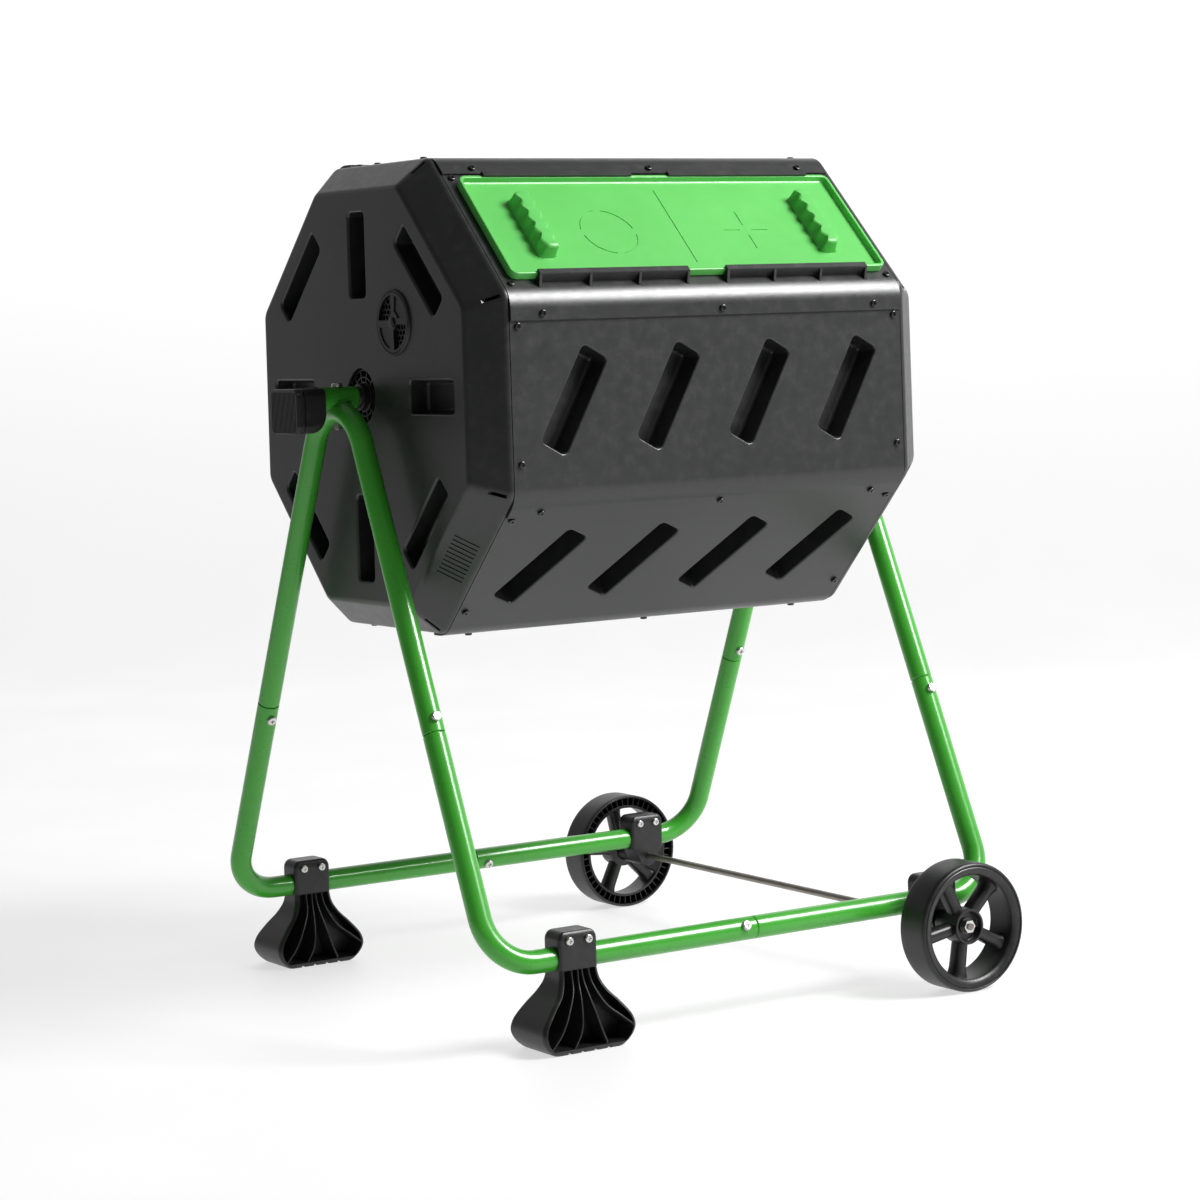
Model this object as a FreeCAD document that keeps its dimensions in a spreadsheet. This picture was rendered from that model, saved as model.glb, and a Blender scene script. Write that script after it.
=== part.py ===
import FreeCAD, Part
import math
import os
import re
import Sketcher

# Compost tumbler: an eight-sided, two-chamber drum that turns on a tube axle between two A-frames.
# +Z is up, X runs along the drum's axle, and -Y is the front, the side that the sliding door faces.
# The origin is on the ground under the middle of the drum.  Lengths are millimetres.

V = FreeCAD.Vector
doc = FreeCAD.newDocument("compost_tumbler")
sheet = doc.addObject("Spreadsheet::Sheet", "dims")

# ---------------------------------------------------------------- driving dimensions

DIMENSIONS = [
    ("axle_height", 681, "ground to the drum's axis"),
    ("drum_across", 520, "drum across its flats"),
    ("drum_length", 520, "drum from rim to rim"),
    ("cap_depth", 38.5, "how far an end cap stands out past the rim"),
    ("cap_face_across", 459, "flat end face across its flats"),
    ("cap_band", 4, "straight band of an end cap at the rim"),
    ("cap_wall", 3, "end cap wall"),
    ("flange_depth", 25, "end cap flange under the side panels"),
    ("corner_radius", 20, "outer radius along the drum's eight corners"),
    ("face_corner_radius", 14, "radius at the corners of the flat end face"),
    ("sheet_wall", 2.8, "side panel wall"),
    ("lip_gap", 0.2, "gap under a panel's overlapping lip"),
    ("lip_reach", 29, "how far a lip reaches over the next panel"),
    ("panel_end_gap", 0.5, "gap between a side panel and the rim of the cap"),
    ("slot_width", 34, "side panel recess"),
    ("slot_length", 116, "side panel recess"),
    ("slot_depth", 28, "side panel recess"),
    ("slot_tilt", 29, "lean of a recess, in degrees"),
    ("slot_pitch", 121, "spacing of the recesses along the drum"),
    ("slot_drop", 7, "how far the recesses lie below the middle of a panel"),
    ("slot_corner", 6, "corner radius of a recess"),
    ("pocket_wall", 2.5, "wall around a recess"),
    ("cap_pocket_depth", 24, "end cap recess"),
    ("spoke_pocket_width", 36, "radial end cap recess"),
    ("spoke_pocket_inner", 110, "inner end of a radial recess from the axis"),
    ("spoke_pocket_outer", 205, "outer end of a radial recess from the axis"),
    ("chord_pocket_length", 115, "slanted end cap recess"),
    ("chord_pocket_width", 29, "slanted end cap recess"),
    ("chord_pocket_radius", 193, "slanted end cap recess from the axis"),
    ("end_screw_inset", 10, "panel end screws from the rim"),
    ("end_screw_offset", 73, "panel end screws from the middle of a panel"),
    ("door_screw_offset", 93, "lower end screws of the door frame panel"),
    ("seam_screw_offset", 86, "seam screws from the middle of a panel"),
    ("seam_screw_reach", 220, "outer seam screws from mid length"),
    ("seam_screw_middle", 12, "middle seam screw from mid length, beside the divider"),
    ("small_screw", 4, "shank of the drum screws"),
    ("small_screw_hole", 4.4, "hole for the drum screws"),
    ("small_head", 8, "head of the drum screws"),
    ("tube", 25, "outside of the frame tube"),
    ("tube_bore", 22, "inside of the frame tube"),
    ("swage", 21.8, "outside of a swaged tube end"),
    ("swage_bore", 18.8, "inside of a swaged tube end"),
    ("swage_length", 45, "swaged tube end"),
    ("shoulder", 3, "thickness of the step into a swaged end"),
    ("leg_plane", 328, "A-frames from the middle of the drum"),
    ("rail_y", 297, "ground rails from the middle of the drum"),
    ("rail_height", 94, "ground rails' centre above the ground"),
    ("splay", 24.3, "lean of each leg, in degrees"),
    ("apex_radius", 60, "bend at the top of an A-frame"),
    ("rail_bend", 52, "bend from a leg into a rail"),
    ("joint_height", 326.4, "leg joints above the ground"),
    ("joint_screw_inset", 15, "joint screws from the joint"),
    ("frame_screw", 6, "shank of the frame screws"),
    ("frame_screw_hole", 6.4, "hole for the frame screws"),
    ("frame_head", 11, "head of the frame screws"),
    ("stub_inner", 22, "how far a stub reaches inboard of its A-frame"),
    ("stub_outer", 25.5, "how far a stub reaches outboard of its A-frame"),
    ("axle_tube", 21.8, "outside of the drum's axle tube"),
    ("axle_tube_bore", 18.8, "inside of the drum's axle tube"),
    ("grip_width", 63, "end grip along Y"),
    ("grip_depth", 41, "end grip along X"),
    ("grip_top", 12, "top of the end grip above the axle"),
    ("grip_bottom", 37, "bottom of the end grip below the axle"),
    ("hub_flange", 62.6, "drum bush flange"),
    ("hub_body", 39.4, "drum bush body"),
    ("hub_bore", 21.96, "drum bush bore, a running fit on the axle tube"),
    ("hub_recess", 4.5, "how far the bush flange lies inside the end face"),
    ("vent_radius", 115.3, "vent centre from the axis"),
    ("vent_flange", 74, "vent screen flange"),
    ("vent_body", 68.4, "vent screen body"),
    ("vent_dial", 67, "turning vent dial"),
    ("door_length", 498, "sliding door"),
    ("door_height", 155, "sliding door"),
    ("door_drop", 10, "door centre below the middle of its panel"),
    ("door_rim", 9.6, "height of the door's rim"),
    ("door_floor", 2.6, "thickness of the door's floor"),
    ("door_rim_wall", 4, "thickness of the door's rim"),
    ("door_lift", 0.3, "gap under the door"),
    ("handle_offset", 188, "door handles from the middle"),
    ("handle_length", 92, "door handle"),
    ("handle_width", 24, "door handle"),
    ("handle_height", 17, "door handle above the floor of the door"),
    ("retainer_inner", 25, "near end of each door retainer from mid length"),
    ("retainer_outer", 218, "far end of each door retainer from mid length"),
    ("retainer_height", 13, "door retainer above its panel"),
    ("retainer_wall", 3, "door retainer"),
    ("hatch_length", 206, "each loading opening"),
    ("hatch_height", 116, "each loading opening"),
    ("hatch_offset", 116, "loading openings from mid length"),
    ("foot_x", 232, "feet from the middle, towards -X"),
    ("wheel_x", 250, "wheels from the middle, towards +X"),
    ("clamp_width", 47, "clamp blocks along the rail"),
    ("clamp_depth", 32, "clamp blocks across the rail"),
    ("clamp_top", 123, "top of the clamp blocks above the ground"),
    ("clamp_bore", 25.2, "clamp bore around the rail"),
    ("clamp_screw_height", 113.5, "clamp screws above the ground"),
    ("clamp_screw_spacing", 23.5, "between the two clamp screws"),
    ("clamp_screw", 5, "shank of the clamp screws"),
    ("clamp_screw_hole", 5.4, "hole for the clamp screws"),
    ("clamp_head", 9, "head of the clamp screws"),
    ("wheel_diameter", 143, "wheel"),
    ("wheel_width", 42, "wheel"),
    ("wheel_y", 349, "middle of each wheel's tread from the middle"),
    ("wheel_hub", 26, "wheel hub"),
    ("hub_inboard", 34, "wheel hub inboard of the tread's middle"),
    ("hub_outboard", 6, "wheel hub outboard of the tread's middle"),
    ("wheel_rod", 8, "wheel axle rod"),
    ("wheel_bore", 8.16, "wheel bore, a running fit on the rod"),
]

for row, (alias, number, note) in enumerate(DIMENSIONS, start=1):
    sheet.set(f"A{row}", str(number))
    sheet.set(f"B{row}", note)
    sheet.setAlias(f"A{row}", alias)
doc.recompute()

ALIASES = {alias for alias, _, _ in DIMENSIONS}


def bound(text):
    """An expression over the sheet's aliases, as other objects have to write it."""
    return re.sub(r"[a-z]\w*", lambda m: "dims." + m.group() if m.group() in ALIASES else m.group(), text)


def size(text):
    """The value, in millimetres or degrees, of an expression over the sheet's aliases."""
    return float(sheet.evalExpression(bound(text)))


# ---------------------------------------------------------------- sketch and feature helpers


def new_body(label):
    """An empty body with a name of its own."""
    body = doc.addObject("PartDesign::Body", label)
    body.Label = label
    return body


def origin_plane(body, role):
    """One of a body's own origin planes or axes."""
    return [item for item in body.Origin.OriginFeatures if item.Role == role][0]


def add_sketch(body, plane, lift="0", place=None):
    """A sketch on an origin plane, lifted along its normal, or turned and moved by a placement."""
    sketch = body.newObject("Sketcher::SketchObject", body.Label + "_sketch")
    sketch.AttachmentSupport = [(origin_plane(body, plane), "")]
    sketch.MapMode = "FlatFace"
    if place is not None:
        sketch.AttachmentOffset = place
    else:
        sketch.setExpression("AttachmentOffset.Base.z", bound(lift))
    return sketch


def name_constraint(sketch, constraint, text):
    """Add a sized constraint and bind it to the sheet."""
    index = sketch.addConstraint(constraint)
    name = f"size{index}"
    sketch.renameConstraint(index, name)
    sketch.setExpression("Constraints." + name, bound(text))


def pin_point(sketch, geometry, point, x, y):
    """Hold one point of a sketch at expressions of the sheet."""
    for kind, text in (("DistanceX", x), ("DistanceY", y)):
        name_constraint(sketch, Sketcher.Constraint(kind, -1, 1, geometry, point, size(text)), text)


def circle(sketch, diameter, x="0", y="0"):
    """A circle whose centre and diameter follow the sheet."""
    centre = V(size(x), size(y), 0)
    index = sketch.addGeometry(Part.Circle(centre, V(0, 0, 1), size(diameter) / 2))
    pin_point(sketch, index, 3, x, y)
    name_constraint(sketch, Sketcher.Constraint("Diameter", index, size(diameter)), diameter)


def outline(sketch, points):
    """A closed outline. Each point is (x, y), or (x, y, radius) when an arc starts there instead of a line."""
    numbers = [V(size(p[0]), size(p[1]), 0) for p in points]
    pieces = []
    for index, point in enumerate(points):
        start = numbers[index]
        end = numbers[(index + 1) % len(points)]
        if len(point) == 2:
            pieces.append((sketch.addGeometry(Part.LineSegment(start, end)), 1, 2))
            continue
        radius = size(point[2])
        middle = (start + end) / 2
        half = (end - start) / 2
        across = V(-half.y, half.x, 0).normalize()
        centre = middle + across * math.sqrt(max(radius * radius - half.Length ** 2, 0))
        first = math.atan2(start.y - centre.y, start.x - centre.x)
        last = math.atan2(end.y - centre.y, end.x - centre.x)
        arc = Part.ArcOfCircle(Part.Circle(centre, V(0, 0, 1), radius), first, last)
        pieces.append((sketch.addGeometry(arc), 1, 2))
    for index, (geometry, first, _) in enumerate(pieces):
        before, _, last = pieces[index - 1]
        sketch.addConstraint(Sketcher.Constraint("Coincident", before, last, geometry, first))
        pin_point(sketch, geometry, first, points[index][0], points[index][1])
        if len(points[index]) == 3:
            radius = points[index][2]
            name_constraint(sketch, Sketcher.Constraint("Radius", geometry, size(radius)), radius)


def rounded_box(sketch, width, height, radius, x="0", y="0"):
    """A rectangle with round corners, drawn anticlockwise."""
    right, top = f"({x}) + ({width}) / 2", f"({y}) + ({height}) / 2"
    left, bottom = f"({x}) - ({width}) / 2", f"({y}) - ({height}) / 2"
    r = f"({radius})"
    outline(sketch, [
        (f"{left} + {r}", bottom), (f"{right} - {r}", bottom, radius),
        (right, f"{bottom} + {r}"), (right, f"{top} - {r}", radius),
        (f"{right} - {r}", top), (f"{left} + {r}", top, radius),
        (left, f"{top} - {r}"), (left, f"{bottom} + {r}", radius),
    ])


def octagon(sketch, across, radius):
    """A regular octagon with flats up, down, left and right, and round corners."""
    trim = f"({radius}) * tan(22.5)"
    points = []
    for corner in range(8):
        before, after = 45 * corner, 45 * (corner + 1)
        for angle, sign in ((before, 1), (after, -1)):
            along = f"(({across}) / 2 * tan(22.5) - {trim}) * {sign}"
            x = f"({across}) / 2 * cos({angle}) - ({along}) * sin({angle})"
            y = f"({across}) / 2 * sin({angle}) + ({along}) * cos({angle})"
            points.append((x, y, radius) if sign == 1 else (x, y))
    outline(sketch, points)


def feature(body, kind, sketch, length, reverse=False, both=False):
    """A Pad or Pocket whose length follows the sheet."""
    item = body.newObject("PartDesign::" + kind, body.Label + "_" + kind)
    item.Profile = sketch
    item.setExpression("Length", bound(length))
    item.Reversed = reverse
    if both:
        item.SideType = "Symmetric"
    sketch.Visibility = False
    return item


def polar(body, originals, count, axis="Z_Axis"):
    """Repeat features evenly around one of the body's axes."""
    item = body.newObject("PartDesign::PolarPattern", body.Label + "_polar")
    item.Originals = originals
    item.Axis = (origin_plane(body, axis), [""])
    item.Angle = 360
    item.Occurrences = count
    body.Tip = item
    return item


def in_line(body, originals, axis, length, count):
    """Repeat features evenly along one of the body's axes."""
    item = body.newObject("PartDesign::LinearPattern", body.Label + "_line")
    item.Originals = originals
    item.Direction = (origin_plane(body, axis), [""])
    item.Length = length
    item.Occurrences = count
    body.Tip = item
    return item


def mirrored(body, originals, plane):
    """Repeat features on the other side of one of the body's planes."""
    item = body.newObject("PartDesign::Mirrored", body.Label + "_mirrored")
    item.Originals = originals
    item.MirrorPlane = (origin_plane(body, plane), [""])
    body.Tip = item
    return item


def round_edges(body, radius, wanted):
    """Fillet the edges of the body's last feature that a test picks out."""
    doc.recompute()
    base = body.Tip
    names = [f"Edge{n}" for n, edge in enumerate(base.Shape.Edges, start=1) if wanted(edge)]
    item = body.newObject("PartDesign::Fillet", body.Label + "_fillet")
    item.Base = (base, names)
    item.setExpression("Radius", bound(radius))
    return item


def place(item, x="0", y="0", z="0", turn=None):
    """Put a sub-part where the sheet says, after turning it."""
    item.Placement = FreeCAD.Placement(V(0, 0, 0), turn or FreeCAD.Rotation())
    for axis, text in (("x", x), ("y", y), ("z", z)):
        item.setExpression("Placement.Base." + axis, bound(text))


def axes_turn(x_axis, y_axis):
    """The rotation that carries the local X and Y axes to two given directions."""
    return FreeCAD.Rotation(x_axis, y_axis, x_axis.cross(y_axis), "ZXY")


def group(label, original, placements):
    """Separate copies of one solid, kept together as one sub-part."""
    copies = []
    for placement in placements:
        copy = doc.addObject("App::Link", label + "_copy")
        copy.LinkedObject = original
        copy.LinkTransform = False
        copy.Placement = placement
        copies.append(copy)
    item = doc.addObject("Part::Compound", label)
    item.Label = label
    item.Links = copies
    return item


SPLAY = math.radians(size("splay"))
AXLE = V(0, 0, size("axle_height"))
HALF_TURN = FreeCAD.Rotation(V(0, 0, 1), 180)
parts = []

# ---------------------------------------------------------------- frame tubes

LEG_DROP = "(axle_height - joint_height)"
LEG_Y = "(rail_y - tan(splay) * (joint_height - rail_height))"
LEG_LENGTH = "((joint_height - rail_height) / cos(splay))"
APEX_DROP = "(axle_height - rail_height - rail_y / tan(splay) + apex_radius * (1 / sin(splay) - 1))"


def ring(sketch, outer, inner, x="0", y="0"):
    """The section of a tube."""
    circle(sketch, outer, x, y)
    circle(sketch, inner, x, y)


def swaged_end(body, plane, place_step, place_end, reverse):
    """The step and the narrow end that slide into the next tube."""
    step = add_sketch(body, plane, place=place_step)
    ring(step, "tube", "swage_bore")
    feature(body, "Pad", step, "shoulder", reverse)
    end = add_sketch(body, plane, place=place_end)
    ring(end, "swage", "swage_bore")
    feature(body, "Pad", end, "swage_length + shoulder", reverse)


def drill(body, centre, direction, diameter="frame_screw_hole"):
    """A hole through one wall of a tube, from its centre line outwards."""
    side = V(1, 0, 0)
    turn = axes_turn(side, direction.cross(side))
    hole = add_sketch(body, "XY_Plane", place=FreeCAD.Placement(centre, turn))
    circle(hole, diameter)
    feature(body, "Pocket", hole, "tube", reverse=True)


def upper_frame(label, face):
    """One A-frame: a tube bent over the axle, with the stub that holds the axle welded on top.

    The arm towards -Y takes the lower tube, and the arm towards +Y is swaged to go into one. face is +1 when the
    joint screws are on the side towards -Y, and -1 when they are on the other side.
    """
    body = new_body(label)
    drop, bend = size(APEX_DROP), size("apex_radius")
    path = add_sketch(body, "YZ_Plane")
    arc_circle = Part.Circle(V(0, -drop - bend, 0), V(0, 0, 1), bend)
    arc = path.addGeometry(Part.ArcOfCircle(arc_circle, SPLAY, math.pi / 2))
    corner = V(bend * math.cos(SPLAY), -drop - bend + bend * math.sin(SPLAY), 0)
    leg = path.addGeometry(Part.LineSegment(corner, V(size(LEG_Y), -size(LEG_DROP), 0)))
    path.addConstraint(Sketcher.Constraint("Coincident", arc, 1, leg, 1))
    name_constraint(path, Sketcher.Constraint("Radius", arc, bend), "apex_radius")
    pin_point(path, arc, 2, "0", f"-{APEX_DROP}")
    pin_point(path, leg, 1, "apex_radius * cos(splay)", f"-{APEX_DROP} - apex_radius * (1 - sin(splay))")
    pin_point(path, leg, 2, LEG_Y, f"-{LEG_DROP}")
    section = add_sketch(body, "XZ_Plane")
    ring(section, "tube", "tube_bore", "0", f"-{APEX_DROP}")
    arm = body.newObject("PartDesign::AdditivePipe", label + "_arm")
    arm.Profile = section
    arm.Spine = (path, [""])
    mirrored(body, [arm], "XZ_Plane")
    down = V(0, math.sin(SPLAY), -math.cos(SPLAY))
    end = V(0, size(LEG_Y), -size(LEG_DROP))
    facing_down = axes_turn(V(1, 0, 0), down.cross(V(1, 0, 0)))
    step = FreeCAD.Placement(end - down * size("shoulder"), facing_down)
    swaged_end(body, "XY_Plane", step, step, False)
    stub = add_sketch(body, "YZ_Plane", "-stub_outer")
    circle(stub, "tube")
    feature(body, "Pad", stub, "stub_outer + stub_inner")
    bore = add_sketch(body, "YZ_Plane", "stub_inner")
    circle(bore, "tube_bore")
    feature(body, "Pocket", bore, "stub_outer + stub_inner")
    bolt = add_sketch(body, "XY_Plane")
    circle(bolt, "frame_screw_hole")
    feature(body, "Pocket", bolt, "4 * tube", both=True)
    inset = size("joint_screw_inset")
    front_down = V(0, -down.y, down.z)
    front_end = V(0, -end.y, end.z)
    drill(body, front_end - front_down * inset, V(0, -math.cos(SPLAY), math.sin(SPLAY)) * face)
    drill(body, end + down * inset, V(0, -math.cos(SPLAY), -math.sin(SPLAY)) * face)
    return body


def lower_tube(label, rail_swaged, face):
    """A ground rail half with the leg it bends up into. Local X follows the rail, local Y the leg.

    One end is swaged, and the other takes a swaged end. face is +1 or -1, the side of the joint screws.
    """
    body = new_body(label)
    reach, bend, leg_end = size("leg_plane"), size("rail_bend"), size(LEG_LENGTH)
    path = add_sketch(body, "XY_Plane")
    rail = path.addGeometry(Part.LineSegment(V(0, 0, 0), V(reach - bend, 0, 0)))
    turn = Part.ArcOfCircle(Part.Circle(V(reach - bend, bend, 0), V(0, 0, 1), bend), -math.pi / 2, 0)
    arc = path.addGeometry(turn)
    leg = path.addGeometry(Part.LineSegment(V(reach, bend, 0), V(reach, leg_end, 0)))
    path.addConstraint(Sketcher.Constraint("Coincident", rail, 2, arc, 1))
    path.addConstraint(Sketcher.Constraint("Coincident", arc, 2, leg, 1))
    pin_point(path, rail, 1, "0", "0")
    pin_point(path, arc, 1, "leg_plane - rail_bend", "0")
    pin_point(path, arc, 2, "leg_plane", "rail_bend")
    pin_point(path, leg, 2, "leg_plane", LEG_LENGTH)
    name_constraint(path, Sketcher.Constraint("Radius", arc, bend), "rail_bend")
    section = add_sketch(body, "YZ_Plane")
    ring(section, "tube", "tube_bore")
    pipe = body.newObject("PartDesign::AdditivePipe", label + "_pipe")
    pipe.Profile = section
    pipe.Spine = (path, [""])
    shoulder, inset = size("shoulder"), size("joint_screw_inset")
    if rail_swaged:
        step = FreeCAD.Placement(V(0, 0, shoulder), FreeCAD.Rotation())
        swaged_end(body, "YZ_Plane", step, step, True)
    else:
        step = FreeCAD.Placement(V(reach, 0, -(leg_end - shoulder)), FreeCAD.Rotation())
        swaged_end(body, "XZ_Plane", step, step, True)
    rail_hole = -inset if rail_swaged else inset
    leg_hole = leg_end - inset if rail_swaged else leg_end + inset
    for centre in (V(rail_hole, 0, 0), V(reach, leg_hole, 0)):
        drill(body, centre, V(0, 0, face))
    return body


def lower_turn(towards_x, towards_centre):
    """The turn of a lower tube whose rail runs to +X or -X and whose leg leans to +Y or -Y."""
    return axes_turn(V(towards_x, 0, 0), V(0, towards_centre * math.sin(SPLAY), math.cos(SPLAY)))


left_upper = upper_frame("left_upper_frame", 1)
place(left_upper, "-leg_plane", "0", "axle_height")
right_upper = upper_frame("right_upper_frame", -1)
place(right_upper, "leg_plane", "0", "axle_height", HALF_TURN)
front_left = lower_tube("front_left_tube", False, -1)
place(front_left, "0", "-rail_y", "rail_height", lower_turn(-1, 1))
front_right = lower_tube("front_right_tube", True, 1)
place(front_right, "0", "-rail_y", "rail_height", lower_turn(1, 1))
back_left = lower_tube("back_left_tube", True, -1)
place(back_left, "0", "rail_y", "rail_height", lower_turn(-1, -1))
back_right = lower_tube("back_right_tube", False, 1)
place(back_right, "0", "rail_y", "rail_height", lower_turn(1, -1))
parts += [left_upper, right_upper, front_left, front_right, back_left, back_right]

# ---------------------------------------------------------------- fasteners


def pan_screw(label, head, head_height, shank, length, recess):
    """A pan head screw. The head stands on the local XY plane, and the shank points down."""
    body = new_body(label)
    top = add_sketch(body, "XY_Plane")
    circle(top, head)
    feature(body, "Pad", top, head_height)
    round_edges(body, f"({head_height}) * 0.45", lambda e: e.CenterOfMass.z > size(head_height) - 0.01)
    stem = add_sketch(body, "XY_Plane")
    circle(stem, shank)
    feature(body, "Pad", stem, length, reverse=True)
    cross = add_sketch(body, "XY_Plane", head_height)
    arm, slit = f"({recess}) / 2", f"({recess}) / 8"
    outline(cross, [
        (f"-{arm}", f"-{slit}"), (f"-{slit}", f"-{slit}"), (f"-{slit}", f"-{arm}"), (slit, f"-{arm}"),
        (slit, f"-{slit}"), (arm, f"-{slit}"), (arm, slit), (slit, slit),
        (slit, arm), (f"-{slit}", arm), (f"-{slit}", slit), (f"-{arm}", slit),
    ])
    feature(body, "Pocket", cross, f"({head_height}) * 0.5")
    return body


def hex_nut(label, across, height, bore):
    """A hexagon nut standing on the local XY plane."""
    body = new_body(label)
    flat = add_sketch(body, "XY_Plane")
    reach = f"({across}) / 2 / cos(30)"
    outline(flat, [(f"{reach} * cos({a})", f"{reach} * sin({a})") for a in range(0, 360, 60)])
    feature(body, "Pad", flat, height)
    hole = add_sketch(body, "XY_Plane", height)
    circle(hole, bore)
    feature(body, "Pocket", hole, height)
    return body


def washer(label, outer, inner, height):
    """A flat washer standing on the local XY plane."""
    body = new_body(label)
    flat = add_sketch(body, "XY_Plane")
    ring(flat, outer, inner)
    feature(body, "Pad", flat, height)
    return body


def facing(point, direction):
    """A placement at a point, with the local Z axis along a direction."""
    return FreeCAD.Placement(point, FreeCAD.Rotation(V(0, 0, 1), direction))


STANDOFF = 0.1
frame_screw = pan_screw("frame_screw_pattern", "frame_head", "3.6", "frame_screw", "8", "5.4")
inset, tube_radius = size("joint_screw_inset"), size("tube") / 2 + STANDOFF
joint_screws = []
for side_x in (-1, 1):
    for side_y in (-1, 1):
        # the swaged end points up on the front left and back right legs, down on the other two
        up = 1 if side_x == side_y else -1
        leg = V(0, -side_y * math.sin(SPLAY), math.cos(SPLAY))
        out = V(0, -math.cos(SPLAY), -side_y * math.sin(SPLAY))
        joint = V(side_x * size("leg_plane"), side_y * size(LEG_Y), size("joint_height"))
        joint_screws.append(facing(joint + leg * up * inset + out * tube_radius, out))
for side_y in (-1, 1):
    out = V(0, -math.cos(SPLAY), -side_y * math.sin(SPLAY))
    rail = V(side_y * inset, side_y * size("rail_y"), size("rail_height"))
    joint_screws.append(facing(rail + out * tube_radius, out))
parts.append(group("frame_screws", frame_screw, joint_screws))

axle_bolt = pan_screw("axle_bolt_pattern", "frame_head + 1", "4", "frame_screw", "48", "6")
bolt_places = [facing(V(x * size("leg_plane"), 0, size("axle_height + tube / 2") + STANDOFF), V(0, 0, 1))
               for x in (-1, 1)]
parts.append(group("axle_bolts", axle_bolt, bolt_places))
axle_nut = hex_nut("axle_nut_pattern", "10", "5", "frame_screw + 0.2")
NUT_DROP = size(f"{APEX_DROP} + tube / 2 + 6")
nut_places = [facing(V(x * size("leg_plane"), 0, size("axle_height") - NUT_DROP), V(0, 0, 1)) for x in (-1, 1)]
parts.append(group("axle_nuts", axle_nut, nut_places))

# ---------------------------------------------------------------- drum axle and end grips

axle = new_body("drum_axle")
section = add_sketch(axle, "YZ_Plane")
ring(section, "axle_tube", "axle_tube_bore")
feature(axle, "Pad", section, "2 * (leg_plane + stub_outer)", both=True)
bolt_holes = add_sketch(axle, "XY_Plane")
circle(bolt_holes, "frame_screw_hole", "-leg_plane")
circle(bolt_holes, "frame_screw_hole", "leg_plane")
feature(axle, "Pocket", bolt_holes, "2 * axle_tube", both=True)
place(axle, "0", "0", "axle_height")
parts.append(axle)


def end_grip(label):
    """The moulded grip that closes a stub. Its plug goes into the axle tube, and its ribbed face is at -X."""
    body = new_body(label)
    height, middle = "grip_top + grip_bottom", "(grip_top - grip_bottom) / 2"
    for start, length, inset in (("-grip_depth", "8", "0"), ("8 - grip_depth", "3", "2"),
                                 ("11 - grip_depth", "grip_depth - 16", "0")):
        block = add_sketch(body, "YZ_Plane", start)
        rounded_box(block, f"grip_width - 2 * {inset}", f"{height} - 2 * {inset}", f"9 - {inset}", "0", middle)
        feature(body, "Pad", block, length)
    neck = add_sketch(body, "YZ_Plane", "-6")
    circle(neck, "27")
    feature(body, "Pad", neck, "6")
    plug = add_sketch(body, "YZ_Plane")
    circle(plug, "axle_tube_bore - 0.2")
    feature(body, "Pad", plug, "18")
    # the lower inner edge is rounded off
    corner = add_sketch(body, "XZ_Plane")
    outline(corner, [("-19", "-grip_bottom", "14"), ("-5", "14 - grip_bottom"), ("1", "14 - grip_bottom"),
                     ("1", "-grip_bottom - 2"), ("-19", "-grip_bottom - 2")])
    feature(body, "Pocket", corner, "2 * grip_width", both=True)
    # fine upright grooves on the face, and cross grooves underneath
    face = add_sketch(body, "XY_Plane", "grip_top + 1")
    outline(face, [("-grip_depth - 1", "-27.7"), ("1 - grip_depth", "-27.7"), ("1 - grip_depth", "-26.3"),
                   ("-grip_depth - 1", "-26.3")])
    groove = feature(body, "Pocket", face, "grip_top + grip_bottom + 2")
    in_line(body, [groove], "Y_Axis", 54, 19)
    under = add_sketch(body, "XZ_Plane")
    outline(under, [("14 - grip_depth", "-grip_bottom - 1"), ("15.4 - grip_depth", "-grip_bottom - 1"),
                    ("15.4 - grip_depth", "1 - grip_bottom"), ("14 - grip_depth", "1 - grip_bottom")])
    groove = feature(body, "Pocket", under, "2 * grip_width", both=True)
    in_line(body, [groove], "X_Axis", 6, 3)
    return body


left_grip = end_grip("left_end_grip")
place(left_grip, "-leg_plane - stub_outer - 0.2", "0", "axle_height")
right_grip = end_grip("right_end_grip")
place(right_grip, "leg_plane + stub_outer + 0.2", "0", "axle_height", HALF_TURN)
parts += [left_grip, right_grip]

# ---------------------------------------------------------------- feet, wheel brackets and wheels


def clamp_block(body, bottom, reach):
    """The upper block that closes around a rail, with its bore and its two screw holes."""
    block = add_sketch(body, "XY_Plane", bottom)
    rounded_box(block, "clamp_width", "clamp_depth", "4")
    feature(body, "Pad", block, f"clamp_top - ({bottom})")
    round_edges(body, "4", lambda e: abs(e.BoundBox.ZMin - size("clamp_top")) < 0.01 and e.BoundBox.ZLength < 0.01)
    bore = add_sketch(body, "YZ_Plane")
    circle(bore, "clamp_bore", "0", "rail_height")
    feature(body, "Pocket", bore, reach, both=True)
    holes = add_sketch(body, "XZ_Plane")
    for side in ("-", ""):
        circle(holes, "clamp_screw_hole", f"{side}clamp_screw_spacing / 2", "clamp_screw_height")
    feature(body, "Pocket", holes, "2 * clamp_depth", both=True)


# half width, half depth and height of the foot's sections, sole first
FOOT_SECTIONS = [("42", "33", "0"), ("50", "35", "7"), ("57", "36", "20"), ("53", "34", "34"),
                 ("42", "30", "47"), ("31", "25", "59"), ("25", "19", "71"), ("23", "16", "84")]


# where the foot's four ribs stand at the heights of its sections, from the one at height 7 up to height 80
FOOT_LEVELS = [7, 20, 34, 47, 59, 71, 80]
FOOT_RIBS = [[-47, -37, -27, -19.5, -13, -10.2, -9.6],
             [-18, -12, -8, -5.6, -3.8, -2.4, -1.2],
             [21, 15, 10.5, 7.6, 5.2, 3.4, 2.4],
             [60, 54, 37.5, 23, 16.5, 13, 11.5]]


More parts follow.
